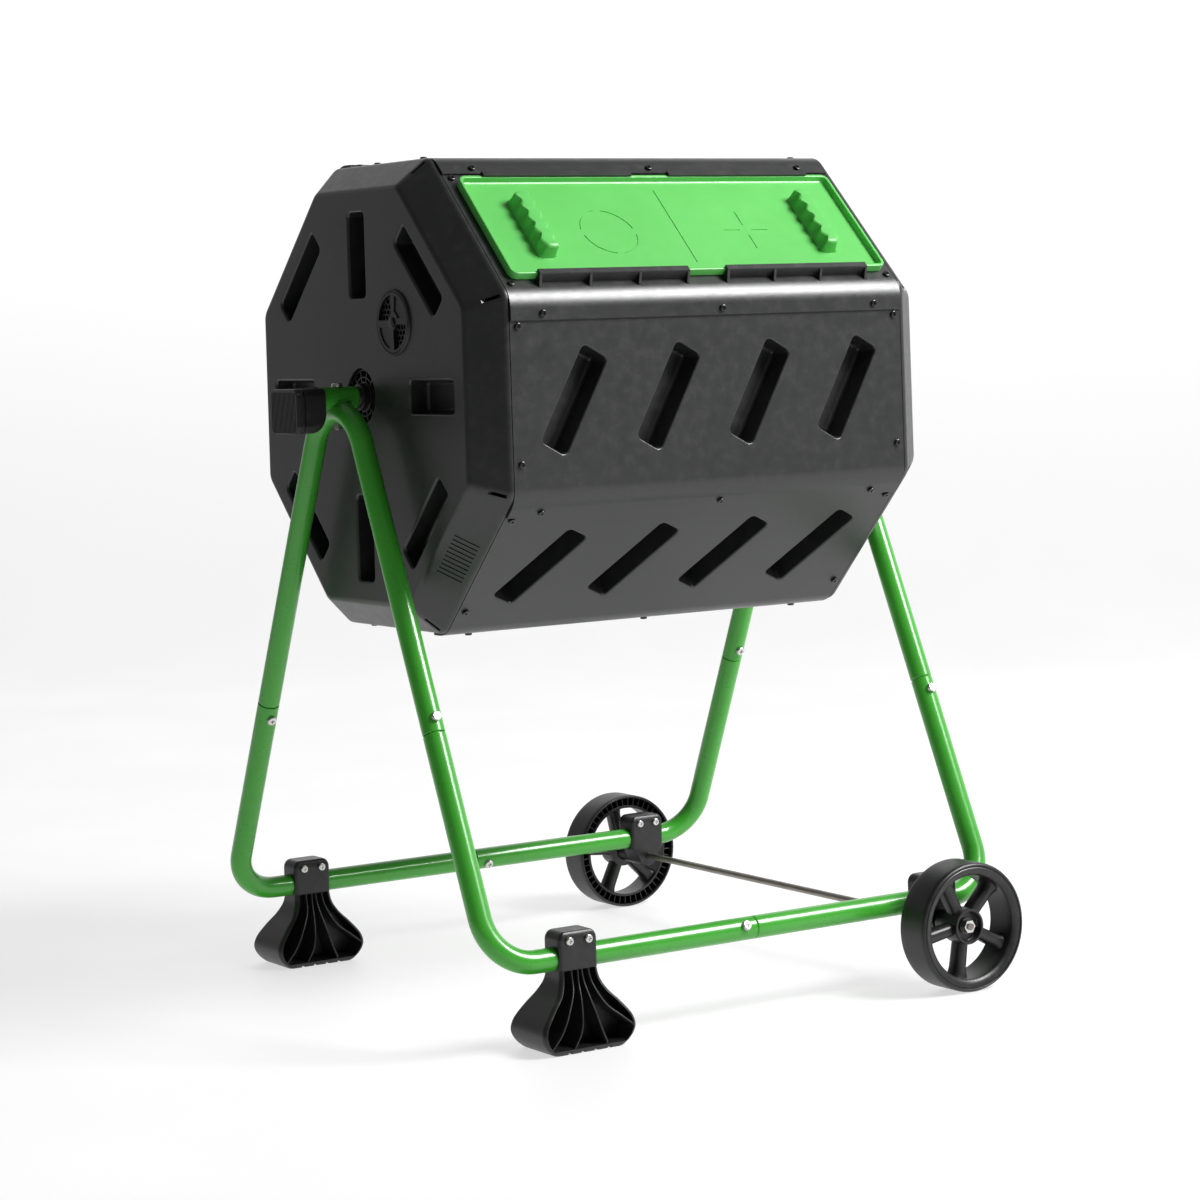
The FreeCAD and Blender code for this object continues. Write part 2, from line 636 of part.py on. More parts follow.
def foot_cells():
    """The outlines of the hollows between a foot's ribs and walls."""
    wall = [float(wide) - 3.4 for wide, _, _ in FOOT_SECTIONS[1:-1]] + [20]
    lines = [[-x for x in wall]] + FOOT_RIBS + [wall]
    cells = []
    for left, right in zip(lines, lines[1:]):
        near = [(max(x + (0 if left is lines[0] else 1.1), -w), z) for x, w, z in zip(left, wall, FOOT_LEVELS)]
        far = [(min(x - (0 if right is lines[-1] else 1.1), w), z) for x, w, z in zip(right, wall, FOOT_LEVELS)]
        pairs = [(a, b) for a, b in zip(near, far) if b[0] - a[0] > 1]
        cells.append([a for a, _ in pairs] + [b for _, b in reversed(pairs)])
    return cells


def foot(label):
    """A flared foot that clamps a rail. Each face is hollowed between ribs that fan out to the sole."""
    body = new_body(label)
    sections = []
    for wide, deep, height in FOOT_SECTIONS:
        section = add_sketch(body, "XY_Plane", height)
        rounded_box(section, f"2 * {wide}", f"2 * {deep}", "6")
        sections.append(section)
    flare = body.newObject("PartDesign::AdditiveLoft", label + "_flare")
    flare.Profile = sections[0]
    flare.Sections = sections[1:]
    clamp_block(body, "80", "3 * clamp_width")
    for cell in foot_cells():
        hollow = add_sketch(body, "XZ_Plane", "4")
        outline(hollow, [(str(x), str(z)) for x, z in cell])
        front = feature(body, "Pocket", hollow, "60", reverse=True)
        mirrored(body, [front], "XZ_Plane")
    tread = add_sketch(body, "XZ_Plane")
    for x in (-24, -8, 8, 24):
        outline(tread, [(f"{x} - 2.5", "-1"), (f"{x} + 2.5", "-1"), (f"{x} + 2.5", "2.6"), (f"{x} - 2.5", "2.6")])
    feature(body, "Pocket", tread, "100", both=True)
    return body


def wheel_bracket(label):
    """A clamp block with the lug that carries the wheel axle."""
    body = new_body(label)
    axle_drop = "wheel_diameter / 2"
    lug = add_sketch(body, "XZ_Plane")
    circle(lug, "26", "0", axle_drop)
    feature(body, "Pad", lug, "clamp_depth", both=True)
    neck = add_sketch(body, "XZ_Plane")
    outline(neck, [("-13", axle_drop), ("13", axle_drop), ("19", "84"), ("-19", "84")])
    feature(body, "Pad", neck, "clamp_depth", both=True)
    clamp_block(body, "82", "3 * clamp_width")
    hole = add_sketch(body, "XZ_Plane")
    circle(hole, "wheel_rod + 0.2", "0", axle_drop)
    feature(body, "Pocket", hole, "2 * clamp_depth", both=True)
    return body


def wheel(label):
    """A moulded wheel, with its axle along the local Z axis and its outer side up.

    The rim is a channel that opens inboard, with thin webs across it.
    """
    body = new_body(label)
    rim = add_sketch(body, "XZ_Plane")
    outer, half = "wheel_diameter / 2", "wheel_width / 2"
    outline(rim, [
        (f"{outer} - 16.5", f"3 - {half}"), (f"{outer} - 13", f"3 - {half}"), (f"{outer} - 11.5", f"{half} - 6"),
        (f"{outer} - 3.5", f"{half} - 6"), (f"{outer} - 3.5", f"-{half}"), (f"{outer} - 1", f"-{half}"),
        (outer, f"3 - {half}"), (outer, f"{half} - 4"), (f"{outer} - 4", half), (f"{outer} - 10", f"{half} - 0.6"),
        (f"{outer} - 14.5", f"{half} - 3"),
    ])
    ring_turn = body.newObject("PartDesign::Revolution", label + "_rim")
    ring_turn.Profile = rim
    ring_turn.ReferenceAxis = (rim, ["V_Axis"])
    ring_turn.Angle = 360
    web = add_sketch(body, "XY_Plane", f"4 - {half}")
    outline(web, [(f"{outer} - 14.5", "-0.8"), (f"{outer} - 2", "-0.8"), (f"{outer} - 2", "0.8"),
                  (f"{outer} - 14.5", "0.8")])
    rib = feature(body, "Pad", web, f"2 * {half} - 9")
    polar(body, [rib], 48)
    hub = add_sketch(body, "XY_Plane", "-hub_inboard")
    circle(hub, "wheel_hub")
    feature(body, "Pad", hub, "hub_inboard + hub_outboard")
    spoke = add_sketch(body, "XY_Plane", "-12")
    outline(spoke, [("5", "-9"), (f"{outer} - 15", "-7"), (f"{outer} - 15", "7"), ("5", "9")])
    arm = feature(body, "Pad", spoke, "22")
    polar(body, [arm], 5)
    collar = add_sketch(body, "XY_Plane", "-12")
    circle(collar, "wheel_hub + 14")
    feature(body, "Pad", collar, "hub_outboard + 20")
    seat = add_sketch(body, "XY_Plane", "hub_outboard + 9")
    circle(seat, "wheel_hub + 7")
    feature(body, "Pocket", seat, "9")
    bore = add_sketch(body, "XY_Plane", "hub_outboard")
    circle(bore, "wheel_bore")
    feature(body, "Pocket", bore, "hub_inboard + hub_outboard + 20")
    return body


front_foot = foot("front_foot")
place(front_foot, "-foot_x", "-rail_y")
back_foot = foot("back_foot")
place(back_foot, "-foot_x", "rail_y")
front_bracket = wheel_bracket("front_wheel_bracket")
place(front_bracket, "wheel_x", "-rail_y")
back_bracket = wheel_bracket("back_wheel_bracket")
place(back_bracket, "wheel_x", "rail_y")
front_wheel = wheel("front_wheel")
first_spoke = V(-math.sin(math.radians(9)), 0, -math.cos(math.radians(9)))
place(front_wheel, "wheel_x", "-wheel_y", "wheel_diameter / 2",
      axes_turn(first_spoke, V(0, -1, 0).cross(first_spoke)))
back_wheel = wheel("back_wheel")
first_spoke = V(-math.sin(math.radians(11)), 0, math.cos(math.radians(11)))
place(back_wheel, "wheel_x", "wheel_y", "wheel_diameter / 2",
      axes_turn(first_spoke, V(0, 1, 0).cross(first_spoke)))
parts += [front_foot, back_foot, front_bracket, back_bracket, front_wheel, back_wheel]

rod = new_body("wheel_axle")
section = add_sketch(rod, "XZ_Plane")
circle(section, "wheel_rod")
feature(rod, "Pad", section, "2 * (wheel_y + hub_outboard + 10)", both=True)
place(rod, "wheel_x", "0", "wheel_diameter / 2")
parts.append(rod)

AXIS_HEIGHT = size("wheel_diameter / 2")
thin_washer = washer("wheel_washer_pattern", "18", "wheel_rod + 0.2", "1.6")
lock_nut = hex_nut("wheel_nut_pattern", "13", "6", "wheel_rod + 0.1")
washer_places, nut_places = [], []
for side in (-1, 1):
    outward = V(0, side, 0)
    for reach in ("wheel_y + hub_outboard + 0.3", "wheel_y - hub_inboard - 1.9"):
        washer_places.append(facing(V(size("wheel_x"), side * size(reach), AXIS_HEIGHT), outward))
    nut_reach = size("wheel_y + hub_outboard + 2")
    nut_places.append(facing(V(size("wheel_x"), side * nut_reach, AXIS_HEIGHT), outward))
parts.append(group("wheel_washers", thin_washer, washer_places))
parts.append(group("wheel_lock_nuts", lock_nut, nut_places))

clamp_screw = pan_screw("clamp_screw_pattern", "clamp_head", "3.2", "clamp_screw", "clamp_depth + 6", "5")
clamp_nut = hex_nut("clamp_nut_pattern", "8", "4", "clamp_screw + 0.1")
screw_places, nut_places = [], []
for x in (-size("foot_x"), size("wheel_x")):
    for side in (-1, 1):
        for offset in (-0.5, 0.5):
            along = x + offset * size("clamp_screw_spacing")
            middle = V(along, side * size("rail_y"), size("clamp_screw_height"))
            reach = V(0, size("clamp_depth") / 2 + STANDOFF, 0)
            screw_places.append(facing(middle - reach, V(0, -1, 0)))
            nut_places.append(facing(middle + reach, V(0, 1, 0)))
parts.append(group("clamp_screws", clamp_screw, screw_places))
parts.append(group("clamp_nuts", clamp_nut, nut_places))

# ---------------------------------------------------------------- drum end caps, bushes and vents

INNER_FACE = "(cap_depth - cap_wall)"
FLANGE_ACROSS = "(drum_across - 2 * sheet_wall - 0.6)"


def end_cap(label):
    """A dished end of the drum. Local Z points out along the axle, and Z 0 is the rim.

    The face holds four radial and four slanted recesses, the bush seat and the vent opening.
    """
    body = new_body(label)
    flange = add_sketch(body, "XY_Plane", "-flange_depth")
    octagon(flange, FLANGE_ACROSS, "corner_radius - 3")
    feature(body, "Pad", flange, "flange_depth + 1")
    band = add_sketch(body, "XY_Plane")
    octagon(band, "drum_across", "corner_radius")
    feature(body, "Pad", band, "cap_band")
    low = add_sketch(body, "XY_Plane", "cap_band")
    octagon(low, "drum_across", "corner_radius")
    high = add_sketch(body, "XY_Plane", "cap_depth")
    octagon(high, "cap_face_across", "face_corner_radius")
    taper = body.newObject("PartDesign::AdditiveLoft", label + "_taper")
    taper.Profile = low
    taper.Sections = [high]
    taper.Ruled = True
    hollow = add_sketch(body, "XY_Plane", "-flange_depth")
    octagon(hollow, f"{FLANGE_ACROSS} - 2 * cap_wall", "corner_radius - 6")
    feature(body, "Pocket", hollow, "flange_depth + cap_band", reverse=True)
    inner_low = add_sketch(body, "XY_Plane", "cap_band")
    octagon(inner_low, f"{FLANGE_ACROSS} - 2 * cap_wall", "corner_radius - 6")
    inner_high = add_sketch(body, "XY_Plane", INNER_FACE)
    octagon(inner_high, "cap_face_across - 2 * cap_wall", "face_corner_radius - 3")
    dish = body.newObject("PartDesign::SubtractiveLoft", label + "_dish")
    dish.Profile = inner_low
    dish.Sections = [inner_high]
    dish.Ruled = True

    floor = "(cap_depth - cap_pocket_depth - pocket_wall)"
    spoke_length = "(spoke_pocket_outer - spoke_pocket_inner)"
    spoke_middle = "(spoke_pocket_outer + spoke_pocket_inner) / 2"
    slant = FreeCAD.Rotation(V(0, 0, 1), 45)
    spoke_box = add_sketch(body, "XY_Plane", floor)
    rounded_box(spoke_box, f"{spoke_length} + 2 * pocket_wall", "spoke_pocket_width + 2 * pocket_wall",
                "slot_corner + pocket_wall", spoke_middle)
    spoke_pad = feature(body, "Pad", spoke_box, f"{INNER_FACE} - {floor} + 1")
    polar(body, [spoke_pad], 4)
    chord_box = add_sketch(body, "XY_Plane", place=FreeCAD.Placement(V(0, 0, size(floor)), slant))
    rounded_box(chord_box, "chord_pocket_width + 2 * pocket_wall", "chord_pocket_length + 2 * pocket_wall",
                "slot_corner + pocket_wall", "chord_pocket_radius")
    chord_pad = feature(body, "Pad", chord_box, f"{INNER_FACE} - {floor} + 1")
    polar(body, [chord_pad], 4)
    seat = add_sketch(body, "XY_Plane", "cap_depth - 16")
    circle(seat, "hub_flange + 7")
    feature(body, "Pad", seat, "14")

    spoke_cut = add_sketch(body, "XY_Plane", "cap_depth")
    rounded_box(spoke_cut, spoke_length, "spoke_pocket_width", "slot_corner", spoke_middle)
    spoke_pocket = feature(body, "Pocket", spoke_cut, "cap_pocket_depth")
    polar(body, [spoke_pocket], 4)
    chord_cut = add_sketch(body, "XY_Plane", place=FreeCAD.Placement(V(0, 0, size("cap_depth")), slant))
    rounded_box(chord_cut, "chord_pocket_width", "chord_pocket_length", "slot_corner", "chord_pocket_radius")
    chord_pocket = feature(body, "Pocket", chord_cut, "cap_pocket_depth")
    polar(body, [chord_pocket], 4)
    bush_seat = add_sketch(body, "XY_Plane", "cap_depth")
    circle(bush_seat, "hub_flange + 0.6")
    feature(body, "Pocket", bush_seat, "13")
    bush_hole = add_sketch(body, "XY_Plane", "cap_depth")
    circle(bush_hole, "hub_body + 0.6")
    feature(body, "Pocket", bush_hole, "20")
    vent = add_sketch(body, "XY_Plane", "cap_depth + 1")
    circle(vent, "vent_body + 0.4", "vent_radius * cos(45)", "vent_radius * sin(45)")
    feature(body, "Pocket", vent, "6")
    notch = add_sketch(body, "XY_Plane",
                       place=FreeCAD.Placement(V(0, 0, size("cap_depth")), FreeCAD.Rotation(V(0, 0, 1), 22.5)))
    rounded_box(notch, "13", "4", "1.5", "263")
    slit = feature(body, "Pocket", notch, "cap_depth - cap_band - 12")
    polar(body, [slit], 8)
    screw_holes = add_sketch(body, "XZ_Plane")
    for side in ("-", ""):
        circle(screw_holes, "small_screw_hole", f"{side}end_screw_offset", "-end_screw_inset")
    holes = feature(body, "Pocket", screw_holes, "drum_across / 2", reverse=True)
    polar(body, [holes], 8)
    # the door frame panel's lower end screws sit further down, on the face at +45 degrees
    door_face = axes_turn(V(-math.sqrt(0.5), math.sqrt(0.5), 0), V(0, 0, 1))
    for side in ("-", ""):
        extra = add_sketch(body, "XY_Plane", place=FreeCAD.Placement(V(0, 0, 0), door_face))
        circle(extra, "small_screw_hole", f"{side}door_screw_offset", "-end_screw_inset")
        feature(body, "Pocket", extra, "drum_across / 2", reverse=True)
    return body


LEFT_CAP_TURN = axes_turn(V(0, -1, 0), V(0, 0, 1))
RIGHT_CAP_TURN = axes_turn(V(0, 0, 1), V(0, -1, 0))


def place_at_end(item, right, beyond="0"):
    """Put an end piece at the left or the right rim, with its local Z axis pointing outwards."""
    x = f"drum_length / 2 + ({beyond})"
    if right:
        place(item, x, "0", "axle_height", RIGHT_CAP_TURN)
    else:
        place(item, f"-({x})", "0", "axle_height", LEFT_CAP_TURN)


def bush(label):
    """The drum's bearing bush: a ribbed flange in the end cap's seat and a sleeve on the axle tube."""
    body = new_body(label)
    flange = add_sketch(body, "XY_Plane", "-8")
    circle(flange, "hub_flange")
    feature(body, "Pad", flange, "8")
    sleeve = add_sketch(body, "XY_Plane", "-24")
    circle(sleeve, "hub_body")
    feature(body, "Pad", sleeve, "20")
    collar = add_sketch(body, "XY_Plane", "-1")
    circle(collar, "hub_bore + 8")
    feature(body, "Pad", collar, "9")
    well = add_sketch(body, "XY_Plane", place=FreeCAD.Placement(V(0, 0, 0), FreeCAD.Rotation()))
    for near, far in (("17", "21"), ("22.5", "29")):
        outline(well, [(near, f"0.9 - {near} * tan(15)"), (far, f"0.9 - {far} * tan(15)"),
                       (far, f"{far} * tan(15) - 0.9"), (near, f"{near} * tan(15) - 0.9")])
    dish = feature(body, "Pocket", well, "5")
    polar(body, [dish], 12)
    bore = add_sketch(body, "XY_Plane", "10")
    circle(bore, "hub_bore")
    feature(body, "Pocket", bore, "50")
    return body


VENT_X, VENT_Y = "vent_radius * cos(45)", "vent_radius * sin(45)"


def vent_screen(label):
    """The fixed part of a vent: a rim on the end face, two quarters of honeycomb and the dial's centre pin."""
    rim = doc.addObject("Part::Cylinder", label + "_rim")
    rim.setExpression("Radius", bound("vent_flange / 2"))
    rim.Height = 3.4
    rim.Placement.Base = V(0, 0, 0.1)
    body = doc.addObject("Part::Cylinder", label + "_body")
    body.setExpression("Radius", bound("vent_body / 2"))
    body.Height = 3.6
    body.Placement.Base = V(0, 0, -3)
    solid = doc.addObject("Part::Fuse", label + "_solid")
    solid.Base, solid.Tool = rim, body
    seat = doc.addObject("Part::Cylinder", label + "_seat")
    seat.setExpression("Radius", bound("vent_dial / 2 + 0.4"))
    seat.Height = 5
    seat.Placement.Base = V(0, 0, -0.6)
    dished = doc.addObject("Part::Cut", label + "_dished")
    dished.Base, dished.Tool = solid, seat
    pitch, across = 8.2, 6.4
    cells = []
    for row in range(-4, 5):
        for column in range(-4, 5):
            centre = V((column + (row % 2) / 2) * pitch, row * pitch * math.sin(math.radians(60)), -4)
            open_quarter = centre.x * centre.y < 0 and min(abs(centre.x), abs(centre.y)) > 3
            if open_quarter and V(centre.x, centre.y, 0).Length < size("vent_dial") / 2 - 4.5:
                cell = doc.addObject("Part::Prism", label + "_cell")
                cell.Polygon = 6
                cell.Circumradius = across / 2 / math.cos(math.radians(30))
                cell.Height = 8
                cell.Placement = FreeCAD.Placement(centre, FreeCAD.Rotation(V(0, 0, 1), 30))
                cells.append(cell)
    comb = doc.addObject("Part::Compound", label + "_comb")
    comb.Links = cells
    pierced = doc.addObject("Part::Cut", label + "_pierced")
    pierced.Base, pierced.Tool = dished, comb
    pin = doc.addObject("Part::Cylinder", label + "_pin")
    pin.Radius = 4
    pin.Height = 5.4
    pin.Placement.Base = V(0, 0, -1.5)
    head = doc.addObject("Part::Cone", label + "_head")
    head.Radius1, head.Radius2, head.Height = 5.6, 4.2, 1.2
    head.Placement.Base = V(0, 0, 3.3)
    screen = doc.addObject("Part::MultiFuse", label)
    screen.Shapes = [pierced, pin, head]
    screen.Label = label
    return screen


def vent_dial(label):
    """The turning part of a vent: a disc with two open quarters and two finger dishes."""
    body = new_body(label)
    disc = add_sketch(body, "XY_Plane")
    circle(disc, "vent_dial")
    feature(body, "Pad", disc, "2.2")
    opening = add_sketch(body, "XY_Plane", "2.2")
    outer = "(vent_dial / 2 - 3)"
    near = 8
    reach = f"sqrt({outer} * {outer} - 4)"
    outline(opening, [(f"-{near}", "2"), ("-2", str(near)), ("-2", reach, outer), (f"-({reach})", "2")])
    quarter = feature(body, "Pocket", opening, "3")
    dish = add_sketch(body, "XY_Plane", "2.2")
    rounded_box(dish, "14", "9", "3", "13", "9")
    hollow = feature(body, "Pocket", dish, "1.2")
    polar(body, [quarter, hollow], 2)
    pin_hole = add_sketch(body, "XY_Plane", "2.2")
    circle(pin_hole, "8.16")
    feature(body, "Pocket", pin_hole, "3")
    return body


def place_vent(item, right, beyond):
    """Put a vent piece on an end face, on the diagonal towards the door."""
    turn = RIGHT_CAP_TURN if right else LEFT_CAP_TURN
    side = 1 if right else -1
    offset = turn.multVec(V(size(VENT_X), size(VENT_Y), 0))
    x = side * (size("drum_length / 2 + cap_depth") + beyond)
    item.Placement = FreeCAD.Placement(AXLE + offset + V(x, 0, 0), turn)


for right in (False, True):
    side = "right" if right else "left"
    cap = end_cap(side + "_end_cap")
    place_at_end(cap, right)
    hub = bush(side + "_drum_bush")
    place_at_end(hub, right, "cap_depth - hub_recess")
    screen = vent_screen(side + "_vent_screen")
    place_vent(screen, right, 0)
    dial = vent_dial(side + "_vent_dial")
    place_vent(dial, right, 0.4)
    parts += [cap, hub, screen, dial]

# ---------------------------------------------------------------- drum side panels

PANEL_TOP = "(drum_across / 2)"
PANEL_HALF = "(drum_across / 2 * tan(22.5))"
LIP_OUTER = "(drum_across / 2 + lip_gap + sheet_wall)"
LIP_INNER = "(drum_across / 2 + lip_gap)"
LIP_EDGE = "(drum_across / 2 * tan(22.5) - lip_reach)"


def panel_sheet(label):
    """A side panel's sheet. Local X runs along the drum, Y up the face and Z outwards.

    The lower edge rounds the drum's corner and laps over the next panel.
    """
    body = new_body(label)
    section = add_sketch(body, "YZ_Plane")
    under = f"({PANEL_TOP} - sheet_wall)"
    upper = f"({PANEL_HALF} - 10)"
    root_half = "sqrt(0.5)"
    outline(section, [
        (upper, PANEL_TOP),
        (f"{PANEL_TOP} - {LIP_OUTER} / {root_half}", PANEL_TOP),
        (f"{root_half} * ({LIP_EDGE} - {LIP_OUTER})", f"{root_half} * ({LIP_EDGE} + {LIP_OUTER})"),
        (f"{root_half} * ({LIP_EDGE} - {LIP_INNER})", f"{root_half} * ({LIP_EDGE} + {LIP_INNER})"),
        (f"{under} - {LIP_INNER} / {root_half}", under),
        (upper, under),
    ])
    feature(body, "Pad", section, "drum_length - 2 * panel_end_gap", both=True)

    def at_corner(offset, height):
        corner = V(0, size(offset), size(height))
        return lambda e: e.BoundBox.XLength > 100 and abs(e.CenterOfMass.y - corner.y) < 0.01 \
            and abs(e.CenterOfMass.z - corner.z) < 0.01

    round_edges(body, "corner_radius + lip_gap + sheet_wall",
                at_corner(f"{PANEL_TOP} - {LIP_OUTER} / {root_half}", PANEL_TOP))
    round_edges(body, "corner_radius + lip_gap",
                at_corner(f"{under} - {LIP_INNER} / {root_half}", under))
    return body


def drill_panel(body, lower_offset):
    """Holes for the end screws, for the seam screws under the lip above, and through the panel's own lip."""
    ends = add_sketch(body, "XY_Plane", f"{PANEL_TOP} + 5")
    for side in ("-", ""):
        circle(ends, "small_screw_hole", f"{side}(drum_length / 2 - end_screw_inset)", "end_screw_offset")
        circle(ends, "small_screw_hole", f"{side}(drum_length / 2 - end_screw_inset)", f"-{lower_offset}")
    seam_x = ("-seam_screw_reach", "seam_screw_middle", "seam_screw_reach")
    for x in seam_x:
        circle(ends, "small_screw_hole", x, "seam_screw_offset")
    feature(body, "Pocket", ends, "15")
    down = FreeCAD.Rotation(V(1, 0, 0), 45)
    reach = V(0, 0, size(PANEL_TOP) + 10)
    lip = add_sketch(body, "XY_Plane", place=FreeCAD.Placement(down.multVec(reach), down))
    for x in seam_x:
        circle(lip, "small_screw_hole", x, "seam_screw_offset")
    feature(body, "Pocket", lip, "15")


def recess_places():
    """Where the four leaning recesses of a panel lie along the drum."""
    return [f"{step} * slot_pitch" for step in (-1.5, -0.5, 0.5, 1.5)]


def fluted_panel(label):
    """A side panel with four leaning recesses, which stir the compost as the drum turns."""
    body = panel_sheet(label)
    tilt = size("slot_tilt")
    for x in recess_places():
        for kind, depth, grow in (("Pad", f"{PANEL_TOP} - slot_depth - pocket_wall", "2 * pocket_wall"),
                                  ("Pocket", f"{PANEL_TOP} + 1", "0")):
            where = V(size(x), -size("slot_drop"), size(depth))
            lean = FreeCAD.Rotation(V(0, 0, 1), -tilt)
            sketch = add_sketch(body, "XY_Plane", place=FreeCAD.Placement(where, lean))
            rounded_box(sketch, f"slot_width + {grow}", f"slot_length + {grow}", f"slot_corner + {grow} / 2")
            length = "slot_depth + pocket_wall - sheet_wall / 2" if kind == "Pad" else "slot_depth + 1"
            feature(body, kind, sketch, length)
    drill_panel(body, "end_screw_offset")
    return body


def retainer(body, wall_q, lip_q, foot_q):
    """One long hook over the door's edge, mirrored to the other half, with gussets where foot_q is given."""
    hook = add_sketch(body, "YZ_Plane", "retainer_inner")
    top, under = f"({PANEL_TOP} + retainer_height)", f"({PANEL_TOP} + retainer_height - 2.4)"
    side = 1 if size(lip_q) > size(wall_q) else -1
    inner_q = f"({wall_q} + {side} * retainer_wall)"
    points = [(wall_q, f"{PANEL_TOP} - 1"), (inner_q, f"{PANEL_TOP} - 1"), (inner_q, under),
              (lip_q, under), (lip_q, top), (wall_q, top)]
    outline(hook, points)
    made = [feature(body, "Pad", hook, "retainer_outer - retainer_inner")]
    if foot_q:
        for step in range(4):
            start = f"retainer_inner + {step} / 3 * (retainer_outer - retainer_inner - 3)"
            gusset = add_sketch(body, "YZ_Plane", start)
            outline(gusset, [(f"{wall_q} + {side}", f"{PANEL_TOP} - 1"), (f"{wall_q} + {side}", f"{top} - 2"),
                             (wall_q, f"{top} - 2"), (foot_q, f"{PANEL_TOP} + 0.5"), (foot_q, f"{PANEL_TOP} - 1")])
            made.append(feature(body, "Pad", gusset, "3"))
    mirrored(body, made, "YZ_Plane")


def door_frame(label):
    """The side panel with the two loading openings and the hooks that hold the sliding door."""
    body = panel_sheet(label)
    door_low = "(-door_drop - door_height / 2)"
    door_high = "(-door_drop + door_height / 2)"
    retainer(body, f"({door_low} - 1 - retainer_wall)", f"({door_low} + 3.5)", f"({door_low} - 12)")
    retainer(body, f"({door_high} + 1 + retainer_wall)", f"({door_high} - 3.5)", None)
    hatch = add_sketch(body, "XY_Plane", f"{PANEL_TOP} + 1")
    for side in ("-", ""):
        rounded_box(hatch, "hatch_length", "hatch_height", "15", f"{side}hatch_offset", "-door_drop")
    feature(body, "Pocket", hatch, "sheet_wall + 2")
    drill_panel(body, "door_screw_offset")
    return body


def place_panel(item, angle):
    """Turn a panel so that its face looks out at an angle above the front horizontal, in degrees."""
    place(item, "0", "0", "axle_height", FreeCAD.Rotation(V(1, 0, 0), 90 - angle))


DOOR_ANGLE = 45
PANELS = [("top_panel", 90), ("door_frame_panel", DOOR_ANGLE), ("front_panel", 0), ("lower_front_panel", -45),
          ("bottom_panel", -90), ("lower_back_panel", -135), ("back_panel", 180), ("upper_back_panel", 135)]
end_screw_places, seam_screw_places = [], []
screw_top = size(PANEL_TOP)
for label, angle in PANELS:
    panel = door_frame(label) if angle == DOOR_ANGLE else fluted_panel(label)
    place_panel(panel, angle)
    parts.append(panel)
    face = FreeCAD.Placement(AXLE, FreeCAD.Rotation(V(1, 0, 0), 90 - angle))
    low = "door_screw_offset" if angle == DOOR_ANGLE else "end_screw_offset"
    for end in (-1, 1):
        for offset in (size("end_screw_offset"), -size(low)):
            x = end * size("drum_length / 2 - end_screw_inset")
            end_screw_places.append(face * FreeCAD.Placement(V(x, offset, screw_top + STANDOFF), FreeCAD.Rotation()))
    for x in ("-seam_screw_reach", "seam_screw_middle", "seam_screw_reach"):
        spot = V(size(x), size("seam_screw_offset"), size(LIP_OUTER) + STANDOFF)
        seam_screw_places.append(face * FreeCAD.Placement(spot, FreeCAD.Rotation()))

small_screw = pan_screw("drum_screw_pattern", "small_head", "2.8", "small_screw", "10", "4")
parts.append(group("panel_end_screws", small_screw, end_screw_places))
parts.append(group("panel_seam_screws", small_screw, seam_screw_places))

# ---------------------------------------------------------------- divider and door

divider = new_body("chamber_divider")
wall = add_sketch(divider, "YZ_Plane")
octagon(wall, FLANGE_ACROSS, "corner_radius - 3")
feature(divider, "Pad", wall, "10", both=True)
dish = add_sketch(divider, "YZ_Plane", "1.4")
octagon(dish, f"{FLANGE_ACROSS} - 6", "corner_radius - 6")
right_dish = feature(divider, "Pocket", dish, "10", reverse=True)
mirrored(divider, [right_dish], "YZ_Plane")
ribs = add_sketch(divider, "YZ_Plane")
rounded_box(ribs, "444", "4", "1")
rib_bar = feature(divider, "Pad", ribs, "10", both=True)
polar(divider, [rib_bar], 4, "X_Axis")
boss = add_sketch(divider, "YZ_Plane")
circle(boss, "axle_tube + 16")
feature(divider, "Pad", boss, "14", both=True)
pass_hole = add_sketch(divider, "YZ_Plane")
circle(pass_hole, "axle_tube + 3")
feature(divider, "Pocket", pass_hole, "40", both=True)
place(divider, "0", "0", "axle_height")
parts.append(divider)


def sliding_door(label):
    """The door: a shallow tray with a raised rim and two ridged handles, in its panel's own axes."""
    body = new_body(label)
    base = f"({PANEL_TOP} + door_lift)"
    tray = add_sketch(body, "XY_Plane", base)
    rounded_box(tray, "door_length", "door_height", "13", "0", "-door_drop")
    feature(body, "Pad", tray, "door_rim")
    inside = add_sketch(body, "XY_Plane", f"{base} + door_rim")
    rounded_box(inside, "door_length - 2 * door_rim_wall", "door_height - 2 * door_rim_wall", "9",
                "0", "-door_drop")
    feature(body, "Pocket", inside, "door_rim - door_floor")
    rim_top = size(f"{base} + door_rim")
    round_edges(body, "1.2", lambda e: abs(e.CenterOfMass.z - rim_top) < 0.01)
    handles = []
    for side in ("-", ""):
        ridge = add_sketch(body, "XY_Plane", f"{base} + door_floor - 1")
        rounded_box(ridge, "handle_width", "handle_length", "8", f"{side}handle_offset", "-door_drop - 2")
        handles.append(feature(body, "Pad", ridge, "handle_height + 1"))
    handle_top = size(f"{base} + door_floor + handle_height")
    round_edges(body, "4", lambda e: abs(e.BoundBox.ZMin - handle_top) < 0.01)
    for side in (-1, 1):
        for step in range(-2, 3):
            where = V(side * (size("handle_offset") - size("handle_width") / 2 - 1),
                      step * 17 - size("door_drop") - 2, size(base) + size("door_floor") + 4)
            scallop = add_sketch(body, "XY_Plane", place=FreeCAD.Placement(where, FreeCAD.Rotation()))
            circle(scallop, "13")
            feature(body, "Pocket", scallop, "40", reverse=True)
    return body


door = sliding_door("sliding_door")
place_panel(door, DOOR_ANGLE)
parts.append(door)

# ---------------------------------------------------------------- build, test and write

